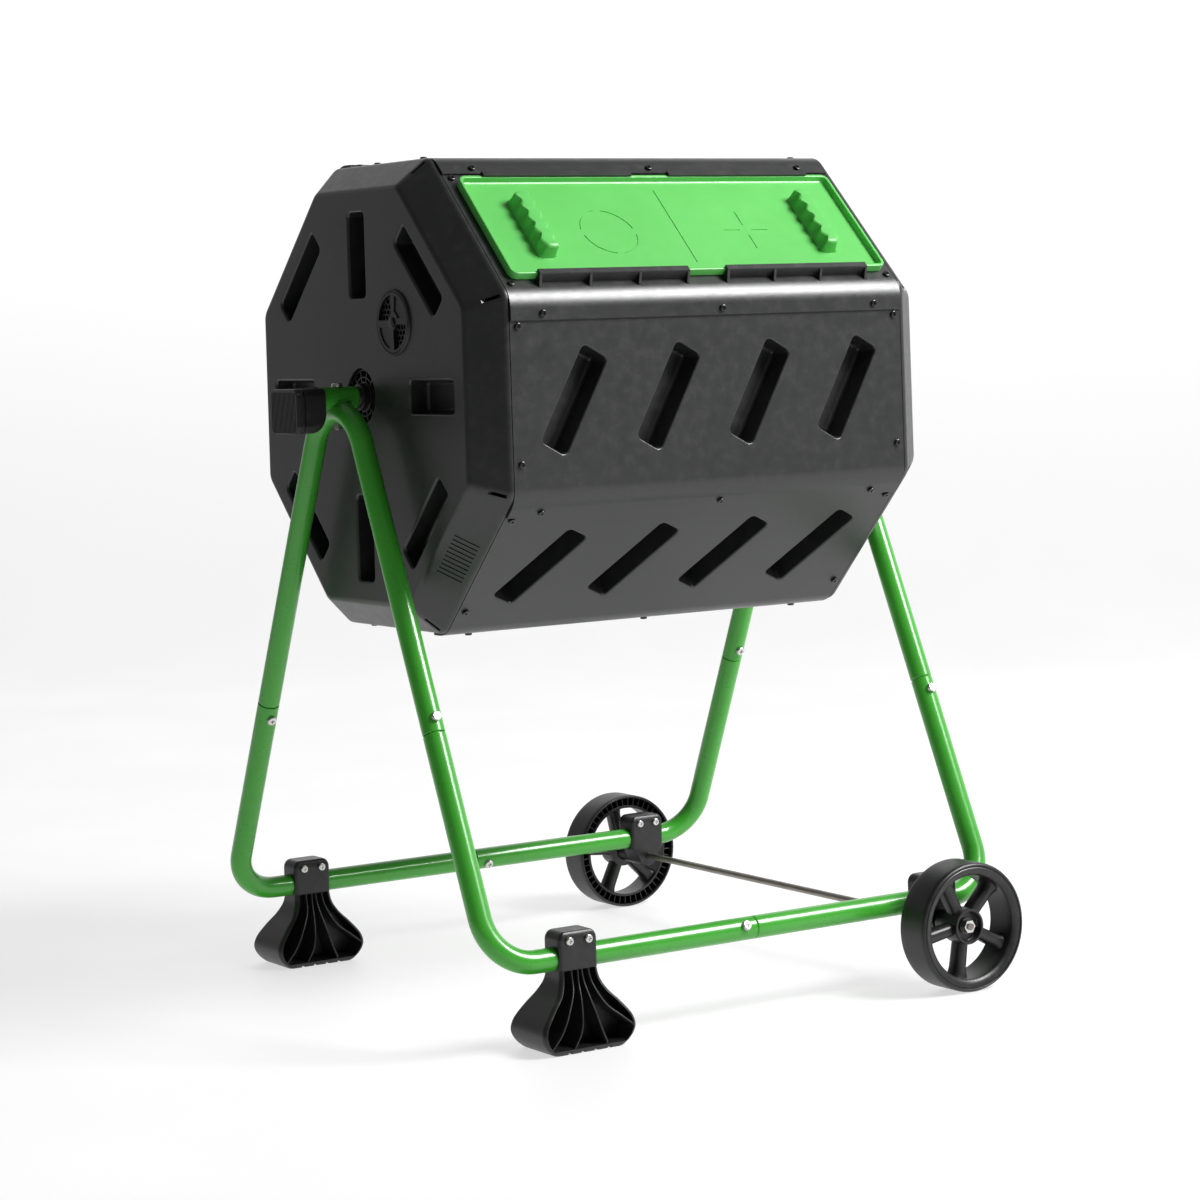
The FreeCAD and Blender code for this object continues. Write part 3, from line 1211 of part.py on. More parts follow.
doc.recompute()
failed = [item.Name for item in doc.Objects if "Invalid" in item.State or "Error" in item.State]
if failed:
    raise SystemExit("these objects failed: " + ", ".join(failed))
os.makedirs("parts", exist_ok=True)
for item in parts:
    shape = item.Shape
    if shape.isNull() or not shape.isValid() or not shape.Solids:
        raise SystemExit(item.Label + " has no valid solid")
for item in parts:
    item.Shape.exportStep(os.path.join("parts", item.Label + ".step"))
    box = item.Shape.BoundBox
    print(f"{item.Label:22s} {len(item.Shape.Solids):3d} solids {item.Shape.Volume / 1000:9.1f} cm3",
          f"x {box.XMin:7.1f} {box.XMax:7.1f} y {box.YMin:7.1f} {box.YMax:7.1f} z {box.ZMin:7.1f} {box.ZMax:7.1f}")
print(len(parts), "sub-parts")
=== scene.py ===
import math

import bmesh
import bpy
from mathutils import Matrix, Vector
from mathutils.geometry import tessellate_polygon


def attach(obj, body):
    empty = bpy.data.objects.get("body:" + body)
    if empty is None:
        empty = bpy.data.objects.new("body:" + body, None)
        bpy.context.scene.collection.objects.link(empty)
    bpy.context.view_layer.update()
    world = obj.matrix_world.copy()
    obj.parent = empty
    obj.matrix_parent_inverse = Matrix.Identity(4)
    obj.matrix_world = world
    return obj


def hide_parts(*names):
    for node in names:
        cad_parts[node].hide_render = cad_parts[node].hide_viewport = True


# A compost tumbler: an eight-sided drum with a sliding door on a bent-tube stand.
# The shapes are drawn in millimetres, in each piece's own axes, and placed in the part's frame in metres.

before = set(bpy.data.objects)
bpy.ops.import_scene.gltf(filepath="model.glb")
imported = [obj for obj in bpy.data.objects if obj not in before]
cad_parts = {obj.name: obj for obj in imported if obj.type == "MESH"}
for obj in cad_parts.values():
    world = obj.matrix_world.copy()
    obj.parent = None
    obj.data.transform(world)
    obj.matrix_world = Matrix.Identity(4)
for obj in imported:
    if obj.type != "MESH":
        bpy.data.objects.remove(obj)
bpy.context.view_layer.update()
MM = 0.001
MERGE = 1e-7
AXLE_HEIGHT = 681.0
DRUM_HALF = 260.0
CAP_FACE = 298.5
AXLE = Vector((0, 0, AXLE_HEIGHT))

# ---- materials


def link(tree, a, b):
    tree.links.new(a, b)


def add(tree, kind):
    return tree.nodes.new("ShaderNode" + kind)


def set_inputs(node, **numbers):
    """Set inputs by name, with _ for a space."""
    for name, number in numbers.items():
        node.inputs[name.replace("_", " ")].default_value = number


def noise(tree, coords, scale, detail=3.0, rough=0.55):
    node = add(tree, "TexNoise")
    set_inputs(node, Scale=scale, Detail=detail, Roughness=rough)
    link(tree, coords, node.inputs["Vector"])
    return node.outputs["Fac"]


def remap(tree, value, low, high, start=0.3, end=0.7):
    node = add(tree, "MapRange")
    set_inputs(node, From_Min=start, From_Max=end, To_Min=low, To_Max=high)
    link(tree, value, node.inputs["Value"])
    return node.outputs["Result"]


def blend(tree, factor, first, second):
    node = add(tree, "Mix")
    node.data_type = "RGBA"
    for socket, colour in ((node.inputs[6], first), (node.inputs[7], second)):
        if isinstance(colour, tuple):
            socket.default_value = (*colour, 1.0)
        else:
            link(tree, colour, socket)
    link(tree, factor, node.inputs[0])
    return node.outputs[2]


def facing(tree, vector, direction):
    """How far a vector reaches along a direction."""
    node = add(tree, "VectorMath")
    node.operation = "DOT_PRODUCT"
    link(tree, vector, node.inputs[0])
    node.inputs[1].default_value = direction
    return node.outputs["Value"]


def product(tree, first, second):
    node = add(tree, "Math")
    node.operation = "MULTIPLY"
    link(tree, first, node.inputs[0])
    link(tree, second, node.inputs[1])
    return node.outputs["Value"]


def surface(name, colour, dark, light, rough, grain, grain_depth, metal=0.0, coat=0.0, specular=0.5,
            blotch=9.0, dust=0.0, stretch=(1.0, 1.0, 1.0)):
    """A procedural finish: base colour with soft variation, uneven gloss, surface grain and settled dust."""
    mat = bpy.data.materials.new(name)
    mat.use_nodes = True
    tree = mat.node_tree
    tree.nodes.clear()
    out = add(tree, "OutputMaterial")
    shader = add(tree, "BsdfPrincipled")
    link(tree, shader.outputs["BSDF"], out.inputs["Surface"])
    where = add(tree, "TexCoord").outputs["Object"]
    mapping = add(tree, "Mapping")
    set_inputs(mapping, Scale=stretch)
    link(tree, where, mapping.inputs["Vector"])
    where = mapping.outputs["Vector"]
    broad = noise(tree, where, blotch, 5.0)
    fine = noise(tree, where, grain, 2.0, 0.6)
    scuffs = noise(tree, where, 70.0, 6.0, 0.7)
    mixed = blend(tree, remap(tree, broad, 0.0, 1.0), dark, light)
    mixed = blend(tree, remap(tree, fine, 0.0, 0.45), mixed, colour)
    if dust:
        settled = remap(tree, scuffs, 0.0, dust, 0.5, 0.75)
        mixed = blend(tree, settled, mixed, (0.35, 0.33, 0.30))
    link(tree, mixed, shader.inputs["Base Color"])
    gloss = remap(tree, scuffs, rough - 0.06, rough + 0.06, 0.25, 0.75)
    link(tree, gloss, shader.inputs["Roughness"])
    bump = add(tree, "Bump")
    set_inputs(bump, Strength=grain_depth * 10, Distance=0.0002)
    link(tree, fine, bump.inputs["Height"])
    link(tree, bump.outputs["Normal"], shader.inputs["Normal"])
    set_inputs(shader, Metallic=metal, Specular_IOR_Level=specular)
    if coat:
        set_inputs(shader, Coat_Weight=coat, Coat_Roughness=0.1)
    return mat


BLACK = surface("black_moulded_plastic", (0.0145, 0.015, 0.0155), (0.012, 0.0125, 0.013),
                (0.0175, 0.018, 0.0185), 0.35, grain=1500.0, grain_depth=0.035, dust=0.03, specular=0.62)
DARK = surface("dark_moulded_plastic", (0.0075, 0.0078, 0.008), (0.006, 0.0062, 0.0064),
               (0.0095, 0.0098, 0.01), 0.38, grain=1300.0, grain_depth=0.05, dust=0.04)
GREEN = surface("green_moulded_plastic", (0.105, 0.51, 0.095), (0.095, 0.48, 0.085), (0.115, 0.54, 0.105),
                0.38, grain=1700.0, grain_depth=0.02)
PAINT = surface("green_powder_coat", (0.048, 0.36, 0.028), (0.043, 0.34, 0.024), (0.054, 0.38, 0.032),
                0.30, grain=700.0, grain_depth=0.02, coat=0.4, specular=0.35)
ZINC = surface("zinc_plated_steel", (0.62, 0.62, 0.60), (0.5, 0.5, 0.49), (0.7, 0.7, 0.68), 0.3,
               grain=900.0, grain_depth=0.03, metal=1.0, blotch=60.0)
ROD = surface("plain_steel_rod", (0.25, 0.225, 0.2), (0.19, 0.17, 0.15), (0.32, 0.29, 0.26), 0.34,
              grain=900.0, grain_depth=0.04, metal=1.0, blotch=40.0, stretch=(6.0, 1.0, 6.0))
SCREW = surface("black_coated_steel", (0.006, 0.006, 0.0063), (0.004, 0.004, 0.0042),
                (0.009, 0.009, 0.0093), 0.22, grain=900.0, grain_depth=0.03, blotch=60.0, specular=0.7)

# ---- mesh helpers


class Shell:
    """Points in millimetres and the faces between them."""

    def __init__(self):
        self.points = []
        self.faces = []

    def ring(self, points):
        start = len(self.points)
        self.points += [Vector(p) for p in points]
        return list(range(start, len(self.points)))

    def level(self, outline, z):
        """A ring from a flat outline, laid at one height."""
        return self.ring([(x, y, z) for x, y in outline])

    def bridge(self, one, other):
        """Quads between two rings with the same number of points."""
        count = len(one)
        for i in range(count):
            j = (i + 1) % count
            self.faces.append((one[i], one[j], other[j], other[i]))

    def skin(self, rings):
        for one, other in zip(rings, rings[1:]):
            self.bridge(one, other)

    def solid(self, rings):
        """A skin over rings, closed at both ends."""
        self.skin(rings)
        self.fill(rings[0])
        self.fill(rings[-1])

    def fill(self, ring):
        self.faces.append(tuple(ring))

    def region(self, outer, holes):
        """A flat face with holes, as triangles over the rings' own points."""
        loops = [outer] + holes
        flat = [i for loop in loops for i in loop]
        for triangle in tessellate_polygon([[self.points[i] for i in loop] for loop in loops]):
            self.faces.append(tuple(flat[k] for k in triangle))

    def include(self, other, move=None):
        """Copy another shell's faces in, moved by a matrix."""
        offset = len(self.points)
        self.points += [(move @ p) if move else p for p in other.points]
        self.faces += [tuple(i + offset for i in face) for face in other.faces]


def scene_object(name, data):
    item = bpy.data.objects.new(name, data)
    bpy.context.scene.collection.objects.link(item)
    return item


def as_object(name, shell, merge):
    """A shell as a mesh object with its faces turned outwards, and with coincident points merged if asked."""
    data = bpy.data.meshes.new(name)
    data.from_pydata([p * MM for p in shell.points], [], shell.faces)
    bm = bmesh.new()
    bm.from_mesh(data)
    if merge:
        bmesh.ops.remove_doubles(bm, verts=bm.verts, dist=MERGE)
        bmesh.ops.dissolve_degenerate(bm, dist=MERGE, edges=bm.edges)
    bmesh.ops.recalc_face_normals(bm, faces=bm.faces)
    bm.to_mesh(data)
    bm.free()
    return scene_object(name, data)


def build(name, shell, material, body, node, place, sharp=32.0, cutters=()):
    """Turn a shell into a mesh object that rides on a body and stands for a CAD node."""
    item = as_object(name, shell, True)
    for cutter in cutters:
        carve(item, cutter)
    item.data.transform(place)
    for polygon in item.data.polygons:
        polygon.use_smooth = True
    item.data.set_sharp_from_angle(angle=math.radians(sharp))
    weight = item.modifiers.new("weight", "WEIGHTED_NORMAL")
    weight.keep_sharp = True
    item.data.materials.clear()
    item.data.materials.append(material)
    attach(item, body)
    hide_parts(node)


def carve(item, shell):
    """Cut a shell out of an object for good."""
    tool = as_object("cutter", shell, False)
    cut = item.modifiers.new("cut", "BOOLEAN")
    cut.operation = "DIFFERENCE"
    cut.solver = "EXACT"
    cut.use_self = True
    cut.object = tool
    bpy.context.view_layer.update()
    graph = bpy.context.evaluated_depsgraph_get()
    result = bpy.data.meshes.new_from_object(item.evaluated_get(graph))
    item.modifiers.remove(cut)
    item.data = result
    bpy.data.objects.remove(tool)


def placed(x=0.0, y=0.0, z=0.0, turn=None):
    """A matrix in metres that turns a piece and moves it, in millimetres, in the part's frame."""
    return Matrix.Translation(Vector((x, y, z)) * MM) @ (turn.to_4x4() if turn else Matrix.Identity(4))


def axes(x_axis, y_axis):
    """The rotation that carries local X and Y to two directions."""
    x_axis, y_axis = Vector(x_axis).normalized(), Vector(y_axis).normalized()
    z_axis = x_axis.cross(y_axis)
    return Matrix((x_axis, y_axis, z_axis)).transposed()


def arc(cx, cy, radius, first, last, steps):
    """Points on an arc between two angles in degrees."""
    angles = [math.radians(first + (last - first) * i / steps) for i in range(steps + 1)]
    return [(cx + radius * math.cos(a), cy + radius * math.sin(a)) for a in angles]


def rounded(width, height, radius, seg=5):
    """A rectangle with round corners about the origin, anticlockwise."""
    radius = max(min(radius, width / 2 - 0.01, height / 2 - 0.01), 0.05)
    w, h = width / 2 - radius, height / 2 - radius
    return (arc(w, h, radius, 0, 90, seg) + arc(-w, h, radius, 90, 180, seg)
            + arc(-w, -h, radius, 180, 270, seg) + arc(w, -h, radius, 270, 360, seg))


def turned(points, degrees, cx=0.0, cy=0.0):
    """Flat points turned about the origin and then moved."""
    c, s = math.cos(math.radians(degrees)), math.sin(math.radians(degrees))
    return [(cx + x * c - y * s, cy + x * s + y * c) for x, y in points]


def circle(radius, count, cx=0.0, cy=0.0, start=0.0):
    return [(cx + radius * math.cos(math.radians(start) + 2 * math.pi * i / count),
             cy + radius * math.sin(math.radians(start) + 2 * math.pi * i / count)) for i in range(count)]


def pocket(width, height, radius, turn, cx, cy, seg=5):
    """A leaning round-cornered outline that can be grown by an offset."""
    def outline(offset):
        return turned(rounded(width + 2 * offset, height + 2 * offset, radius + offset, seg), turn, cx, cy)
    return outline


def well(shell, outline, top, bottom, closed=True):
    """A straight-walled pit or hole with a flat outline. It returns its two rings."""
    mouth, floor = shell.level(outline, top), shell.level(outline, bottom)
    shell.bridge(mouth, floor)
    if closed:
        shell.region(floor, [])
    return mouth, floor


def mouth_rings(shell, outline, level, lip):
    """The rounded mouth of a pocket or opening, from the surface down."""
    return [shell.level(outline(lip - lip * math.sin(t)), level - lip * (1 - math.cos(t)))
            for t in [math.pi / 8 * i for i in range(5)]]


def recess(shell, outline, level, depth, lip, floor_round, draft):
    """A pocket below a surface, with a rounded mouth and floor. It returns the ring that meets the surface."""
    rings = mouth_rings(shell, outline, level, lip)
    for step in range(5):
        t = math.pi / 8 * step
        offset = -draft - floor_round * (1 - math.cos(t))
        drop = depth - floor_round + floor_round * math.sin(t)
        rings.append(shell.level(outline(offset), level - drop))
    shell.skin(rings)
    shell.fill(rings[-1])
    return rings[0]


def slab(width, height, depth, radius):
    """A block with rounded edges all round, centred, with its faces across Z."""
    shell = Shell()
    quarter = [math.pi / 8 * i for i in range(5)]
    rings = []
    for end, angles in ((-1, quarter), (1, quarter[::-1])):
        for t in angles:
            inset = radius * (1 - math.sin(t))
            outline = rounded(width - 2 * inset, height - 2 * inset, radius + 0.4 - inset)
            rings.append(shell.level(outline, end * (depth / 2 - radius * (1 - math.cos(t)))))
    shell.solid(rings)
    return shell


def box_shell(low, high):
    """A plain box between two corners, for cutting."""
    shell = Shell()
    (x0, y0, z0), (x1, y1, z1) = low, high
    base = [(x0, y0), (x1, y0), (x1, y1), (x0, y1)]
    shell.solid([shell.level(base, z0), shell.level(base, z1)])
    return shell


def lathe(profile, count):
    """A closed profile of (radius, level) points turned about Z. A radius of 0 closes the shape."""
    shell = Shell()
    rings = []
    for radius, level in profile:
        outline = [(0, 0)] if radius < 0.01 else circle(radius, count)
        rings.append(shell.level(outline, level))
    for one, other in zip(rings, rings[1:]):
        if len(one) == 1 or len(other) == 1:
            hub, rim = (one[0], other) if len(one) == 1 else (other[0], one)
            for i in range(count):
                shell.faces.append((hub, rim[i], rim[(i + 1) % count]))
        else:
            shell.bridge(one, other)
    if len(rings[0]) > 1 and len(rings[-1]) > 1:
        shell.bridge(rings[-1], rings[0])
    return shell


def octagon(half, radius):
    """A regular octagon with flats up, down, left and right, and round corners."""
    points = []
    reach = (half - radius) / math.cos(math.radians(22.5))
    for corner in range(8):
        middle = math.radians(22.5 + 45 * corner)
        cx, cy = reach * math.cos(middle), reach * math.sin(middle)
        points += arc(cx, cy, radius, 45 * corner, 45 * corner + 45, 6)
    return points


# ---- drum side panels

SHEET = 2.8
LIP_UNDER = DRUM_HALF + 0.2
LIP_TOP = LIP_UNDER + SHEET
PANEL_HALF = DRUM_HALF * math.tan(math.radians(22.5))
PANEL_END = DRUM_HALF - 0.5
UPPER = PANEL_HALF - 10
LIP_EDGE = PANEL_HALF - 29


def next_face(q, n):
    """A point given on the next face down, in this panel's own axes."""
    c = math.sqrt(0.5)
    return (c * (q - n), c * (q + n))


def corner_arc(top, lip, radius):
    """The round from this face, at height top, into the next face, at height lip."""
    # the two lines n = top and the next face's n = lip meet here
    corner_q = top - lip / math.sqrt(0.5)
    trim = radius * math.tan(math.radians(22.5))
    return arc(corner_q + trim, top - radius, radius, 90, 135, 12)


def panel(door_frame=False):
    """One side panel: local X along the drum, Y up the face and Z outwards."""
    shell = Shell()
    bevel = 0.7
    outer_arc = corner_arc(DRUM_HALF, LIP_TOP, 33.0)
    inner_arc = corner_arc(DRUM_HALF - SHEET, LIP_UNDER, 30.2)
    lip = [next_face(LIP_EDGE + bevel, LIP_TOP), next_face(LIP_EDGE, LIP_TOP - bevel),
           next_face(LIP_EDGE, LIP_UNDER)]

    def station(q, n):
        return shell.ring([(-PANEL_END, q, n), (PANEL_END, q, n)])

    top_edge = [station(UPPER - SHEET + 2.4, DRUM_HALF - SHEET), station(UPPER, DRUM_HALF - bevel),
                station(UPPER - bevel, DRUM_HALF)]
    strips = [station(q, n) for q, n in outer_arc + lip + inner_arc[::-1]]
    for chain in (strips, top_edge):
        for one, other in zip(chain, chain[1:]):
            shell.faces.append((one[0], one[1], other[1], other[0]))
    for side in (0, 1):
        shell.fill([pair[side] for pair in top_edge + strips])
    flat_top = [*top_edge[2], strips[0][1], strips[0][0]]
    flat_under = [*top_edge[0], strips[-1][1], strips[-1][0]]
    top_holes, under_holes = [], []
    if door_frame:
        for cx in (-116, 116):
            hatch = pocket(206, 116, 15, 0, cx, -10, 8)
            rings = mouth_rings(shell, hatch, DRUM_HALF, 0.9) + [shell.level(hatch(0.0), DRUM_HALF - SHEET)]
            shell.skin(rings)
            top_holes.append(rings[0])
            under_holes.append(rings[-1])
    else:
        for step in (-1.5, -0.5, 0.5, 1.5):
            slot, box = pocket(34, 116, 6, -29, 121 * step, -7), pocket(39, 121, 8.5, -29, 121 * step, -7)
            top_holes.append(recess(shell, slot, DRUM_HALF, 28, 2.2, 4.5, 1.4))
            under_holes.append(recess(shell, box, DRUM_HALF - SHEET, 27.7, 0.6, 3, 1.2))
    shell.region(flat_top, top_holes)
    shell.region(flat_under, under_holes)
    return shell


def bar(profile, start, end, bevel=0.5):
    """A profile of (q, n) points drawn along X between two stations, with softened ends."""
    shell = Shell()
    cq = sum(p[0] for p in profile) / len(profile)
    cn = sum(p[1] for p in profile) / len(profile)
    rings = []
    for x, shrink in ((start, bevel), (start + bevel, 0.0), (end - bevel, 0.0), (end, bevel)):
        scaled = []
        for q, n in profile:
            away = Vector((q - cq, n - cn))
            length = max(away.length, 0.01)
            away *= max(length - shrink, 0.0) / length
            scaled.append((x, cq + away.x, cn + away.y))
        rings.append(shell.ring(scaled))
    shell.skin(rings)
    shell.region(rings[0], [])
    shell.region(rings[-1], [])
    return shell


def door_retainers():
    """The hooks along both edges of the door, with gussets under the lower ones."""
    shell = Shell()
    top = DRUM_HALF + 13
    lower = [(-91.5, DRUM_HALF - 1), (-88.5, DRUM_HALF - 1), (-88.5, top - 2.7), (-84.4, top - 2.7),
             (-84.0, top - 2.2), (-84.0, top - 0.4), (-84.4, top), (-90.9, top), (-91.5, top - 0.7)]
    upper = [(-20 - q, n) for q, n in lower]
    gusset = [(-90.5, DRUM_HALF - 1), (-90.5, top - 1.5), (-91.8, top - 1.5), (-99.5, DRUM_HALF + 0.6),
              (-99.5, DRUM_HALF - 1)]
    for start, end in ((-218, -25), (25, 218)):
        shell.include(bar(lower, start, end))
        shell.include(bar(upper, start, end))
        for step in range(4):
            x = start + step / 3 * (end - start - 3)
            shell.include(bar(gusset, x, x + 3, 0.35))
    return shell


def face_turn(angle):
    """The turn of a panel whose face looks out at an angle above the front horizontal."""
    return Matrix.Rotation(math.radians(90 - angle), 3, "X")


PANELS = [("top_panel", 90), ("door_frame_panel", 45), ("front_panel", 0), ("lower_front_panel", -45),
          ("bottom_panel", -90), ("lower_back_panel", -135), ("back_panel", 180), ("upper_back_panel", 135)]
plain_panel = panel()
frame_panel = panel(True)
frame_panel.include(door_retainers())
for label, angle in PANELS:
    shape = frame_panel if angle == 45 else plain_panel
    build(label + "_sheet", shape, BLACK, "drum", label, placed(z=AXLE_HEIGHT, turn=face_turn(angle)), sharp=28)

# ---- sliding door


def sliding_door():
    """A tray with a raised rim, two wavy handles, a middle line and two shallow moulded marks."""
    shell = Shell()
    base, floor, rim = DRUM_HALF + 0.3, DRUM_HALF + 2.9, DRUM_HALF + 9.9
    drop = -10

    def outline(inset):
        return turned(rounded(498 - 2 * inset, 155 - 2 * inset, max(9 - inset, 1.5), 6), 0, 0, drop)

    outer = [shell.level(outline(i), n) for i, n in
             ((0.6, base), (0.0, base + 0.6), (0.0, rim - 1.2), (0.35, rim - 0.35), (1.2, rim), (3.0, rim),
              (3.7, rim - 0.35), (4.0, rim - 1.2), (4.4, floor + 2.2), (5.0, floor + 0.7), (6.6, floor))]
    shell.skin(outer)
    shell.fill(outer[0])
    rings = []
    for cx in (-188, 188):
        levels = [(0.0, 0.0, 0.0), (0.0, 0.0, 0.7), (-0.6, 0.2, 2.4), (-1.0, 0.55, 6.0), (-1.2, 0.85, 10.0),
                  (-1.3, 1.0, 13.5), (-1.6, 1.0, 15.2), (-2.6, 1.0, 16.4), (-4.0, 0.9, 17.0)]
        stack = [shell.level(handle_outline(cx, drop - 2, o, w), floor + h) for o, w, h in levels]
        shell.skin(stack)
        shell.region(stack[-1], [])
        rings.append(stack[0])
    # the middle line, a ring mark on the left and a cross mark on the right, as shallow grooves
    rings.append(groove(shell, turned(rounded(1.5, 118, 0.7, 2), 0, 0, drop), floor))
    for first in range(0, 360, 90):
        band = arc(-92, -18, 34.9, first + 8, first + 82, 12) + arc(-92, -18, 33.4, first + 82, first + 8, 12)
        rings.append(groove(shell, band, floor))
    for angle in (0, 90, 180, 270):
        rings.append(groove(shell, turned([(8, -0.7), (30, -0.7), (30, 0.7), (8, 0.7)], angle, 92, -18), floor))
    shell.region(outer[-1], rings)
    return shell


def groove(shell, outline, level):
    """A shallow cut with an outline of its own."""
    mouth = shell.level(outline, level)
    cx = sum(p[0] for p in outline) / len(outline)
    cy = sum(p[1] for p in outline) / len(outline)
    floor = shell.level([(cx + (x - cx) * 0.999, cy + (y - cy) * 0.999) for x, y in outline], level - 0.7)
    shell.bridge(mouth, floor)
    shell.region(floor, [])
    return mouth


def handle_outline(cx, cy, offset, wave):
    """A handle's outline. Its inner side bulges in five finger waves, more strongly higher up."""
    half_w, half_l, corner = 12 + offset, 46 + offset, 5.0
    toward = -1 if cx > 0 else 1
    points = []
    steps = 60
    for side, height, shift in ((1, 4.6, 0.0), (-1, 3.6, math.pi * 0.7)):
        for i in range(steps + 1):
            y = side * (2 * half_l * i / steps - half_l)
            edge = math.sqrt(max(0.0, 1 - (max(0.0, abs(y) - (half_l - corner)) / corner) ** 2))
            ripple = height * wave * (1 - math.cos(5 * math.pi * (y + half_l) / half_l + shift)) / 2
            points.append((side * (half_w - corner + corner * edge - ripple), y))
    return [(cx + x * toward, cy + y) for x, y in points]


build("door_tray", sliding_door(), GREEN, "door", "sliding_door",
      placed(z=AXLE_HEIGHT, turn=face_turn(45)), sharp=30)

# ---- end caps

VENT = (115.3 * math.sqrt(0.5), 115.3 * math.sqrt(0.5))
DEPTH = 38.5
FACE_HALF = 229.5
CAP_SLOPE = math.atan2(DRUM_HALF - FACE_HALF, DEPTH - 4)


def end_cap():
    """A dished end: local Z points out along the axle and Z 0 is the rim."""
    shell = Shell()
    outer = [(253.9, -25, 14), (256.9, -25, 17), (256.9, -0.2, 17), (259.3, -0.2, 19.6), (260, 0.5, 20)]
    shoulder, edge = 9.0, 9.0
    trim = shoulder * math.tan(CAP_SLOPE / 2)
    for step in range(7):
        t = CAP_SLOPE * step / 6
        outer.append((260 - shoulder * (1 - math.cos(t)), 4 - trim + shoulder * math.sin(t), 20))
    remaining = math.pi / 2 - CAP_SLOPE
    trim = edge * math.tan(remaining / 2)
    start_a = FACE_HALF + trim * math.sin(CAP_SLOPE)
    start_z = DEPTH - trim * math.cos(CAP_SLOPE)
    centre = (start_a - edge * math.cos(CAP_SLOPE), start_z - edge * math.sin(CAP_SLOPE))
    for step in range(8):
        t = CAP_SLOPE + remaining * step / 7
        corner = 20 - 6 * (0.5 + step / 14)
        outer.append((centre[0] + edge * math.cos(t), centre[1] + edge * math.sin(t), corner))
    rings = [shell.level(octagon(a, r), z) for a, z, r in outer]
    shell.skin(rings)
    inner = [(253.9, -25, 14), (253.9, 3, 14), (250, 7, 14), (226.5, 35.5, 11)]
    hidden = [rings[0]] + [shell.level(octagon(a, r), z) for a, z, r in inner[1:]]
    shell.skin(hidden)
    face_holes, under_holes = [], []
    for turn in (0, 90, 180, 270):
        for w, h, angle, reach in ((95, 36, turn, 157.5), (29, 115, turn + 45, 193)):
            cx, cy = reach * math.cos(math.radians(angle)), reach * math.sin(math.radians(angle))
            slot, box = pocket(w, h, 6, angle, cx, cy), pocket(w + 5, h + 5, 8.5, angle, cx, cy)
            face_holes.append(recess(shell, slot, DEPTH, 24, 3.0, 4.5, 1.2))
            under_holes.append(recess(shell, box, DEPTH - 3, 23.5, 0.6, 3, 1.0))
    mouth, back = well(shell, circle(34.4, 64, *VENT), DEPTH, DEPTH - 3, closed=False)
    face_holes.append(mouth)
    under_holes.append(back)
    seat = [shell.level(circle(r, 72), z) for r, z in
            ((33.2, DEPTH), (32.4, DEPTH - 0.3), (31.9, DEPTH - 1.2), (31.9, DEPTH - 13), (20.0, DEPTH - 13),
             (20.0, DEPTH - 16), (34.8, DEPTH - 16), (34.8, DEPTH - 3))]
    shell.skin(seat)
    face_holes.append(seat[0])
    under_holes.append(seat[-1])
    shell.region(rings[-1], face_holes)
    shell.region(hidden[-1], under_holes)
    return shell


def chamfer_point(angle, along, down):
    """A point on the sloping face: along its flat, and down from the end face's edge."""
    a = FACE_HALF + down * math.sin(CAP_SLOPE)
    z = DEPTH - down * math.cos(CAP_SLOPE)
    c, s = math.cos(math.radians(angle)), math.sin(math.radians(angle))
    return Vector((a * c - along * s, a * s + along * c, z))


def slots_cut(angle, alongs, first, last, width, depth):
    """Narrow cuts across a sloping face, running from its inner towards its outer edge."""
    shell = Shell()
    c, s = math.cos(math.radians(angle)), math.sin(math.radians(angle))
    normal = Vector((math.cos(CAP_SLOPE) * c, math.cos(CAP_SLOPE) * s, math.sin(CAP_SLOPE)))
    across = Vector((-s, c, 0))
    for along in alongs:
        low, high = [], []
        for x, y in rounded(last - first, width, width / 2 - 0.05, 3):
            at = chamfer_point(angle, along, (first + last) / 2 + x) + across * y
            low.append(at - normal * depth)
            high.append(at + normal * 2)
        shell.solid([shell.ring(low), shell.ring(high)])
    return shell


def notches_cut():
    """A short slit through each of the eight ridges, near the rim."""
    shell = Shell()
    for i in range(8):
        turn = Matrix.Rotation(math.radians(22.5 + 45 * i), 4, "Z")
        shell.include(box_shell((262, -2, 7), (286, 2, 40)), turn)
    return shell


LEFT_CAP = axes((0, -1, 0), (0, 0, 1))
RIGHT_CAP = axes((0, 0, 1), (0, -1, 0))
SIDES = (("left", -1, LEFT_CAP), ("right", 1, RIGHT_CAP))
cap_shape = end_cap()
for label, side, turn in SIDES:
    where = placed(side * DRUM_HALF, 0, AXLE_HEIGHT, turn)
    # the grooves are on the lower front sloping face
    angle = -45 if side < 0 else 135
    cuts = [slots_cut(angle, [i * 6.2 - 28 for i in range(10)], 9, 39, 2.0, 1.0), notches_cut()]
    build(label + "_cap_moulding", cap_shape, BLACK, "drum", label + "_end_cap", where, sharp=28, cutters=cuts)

# ---- bushes and vents


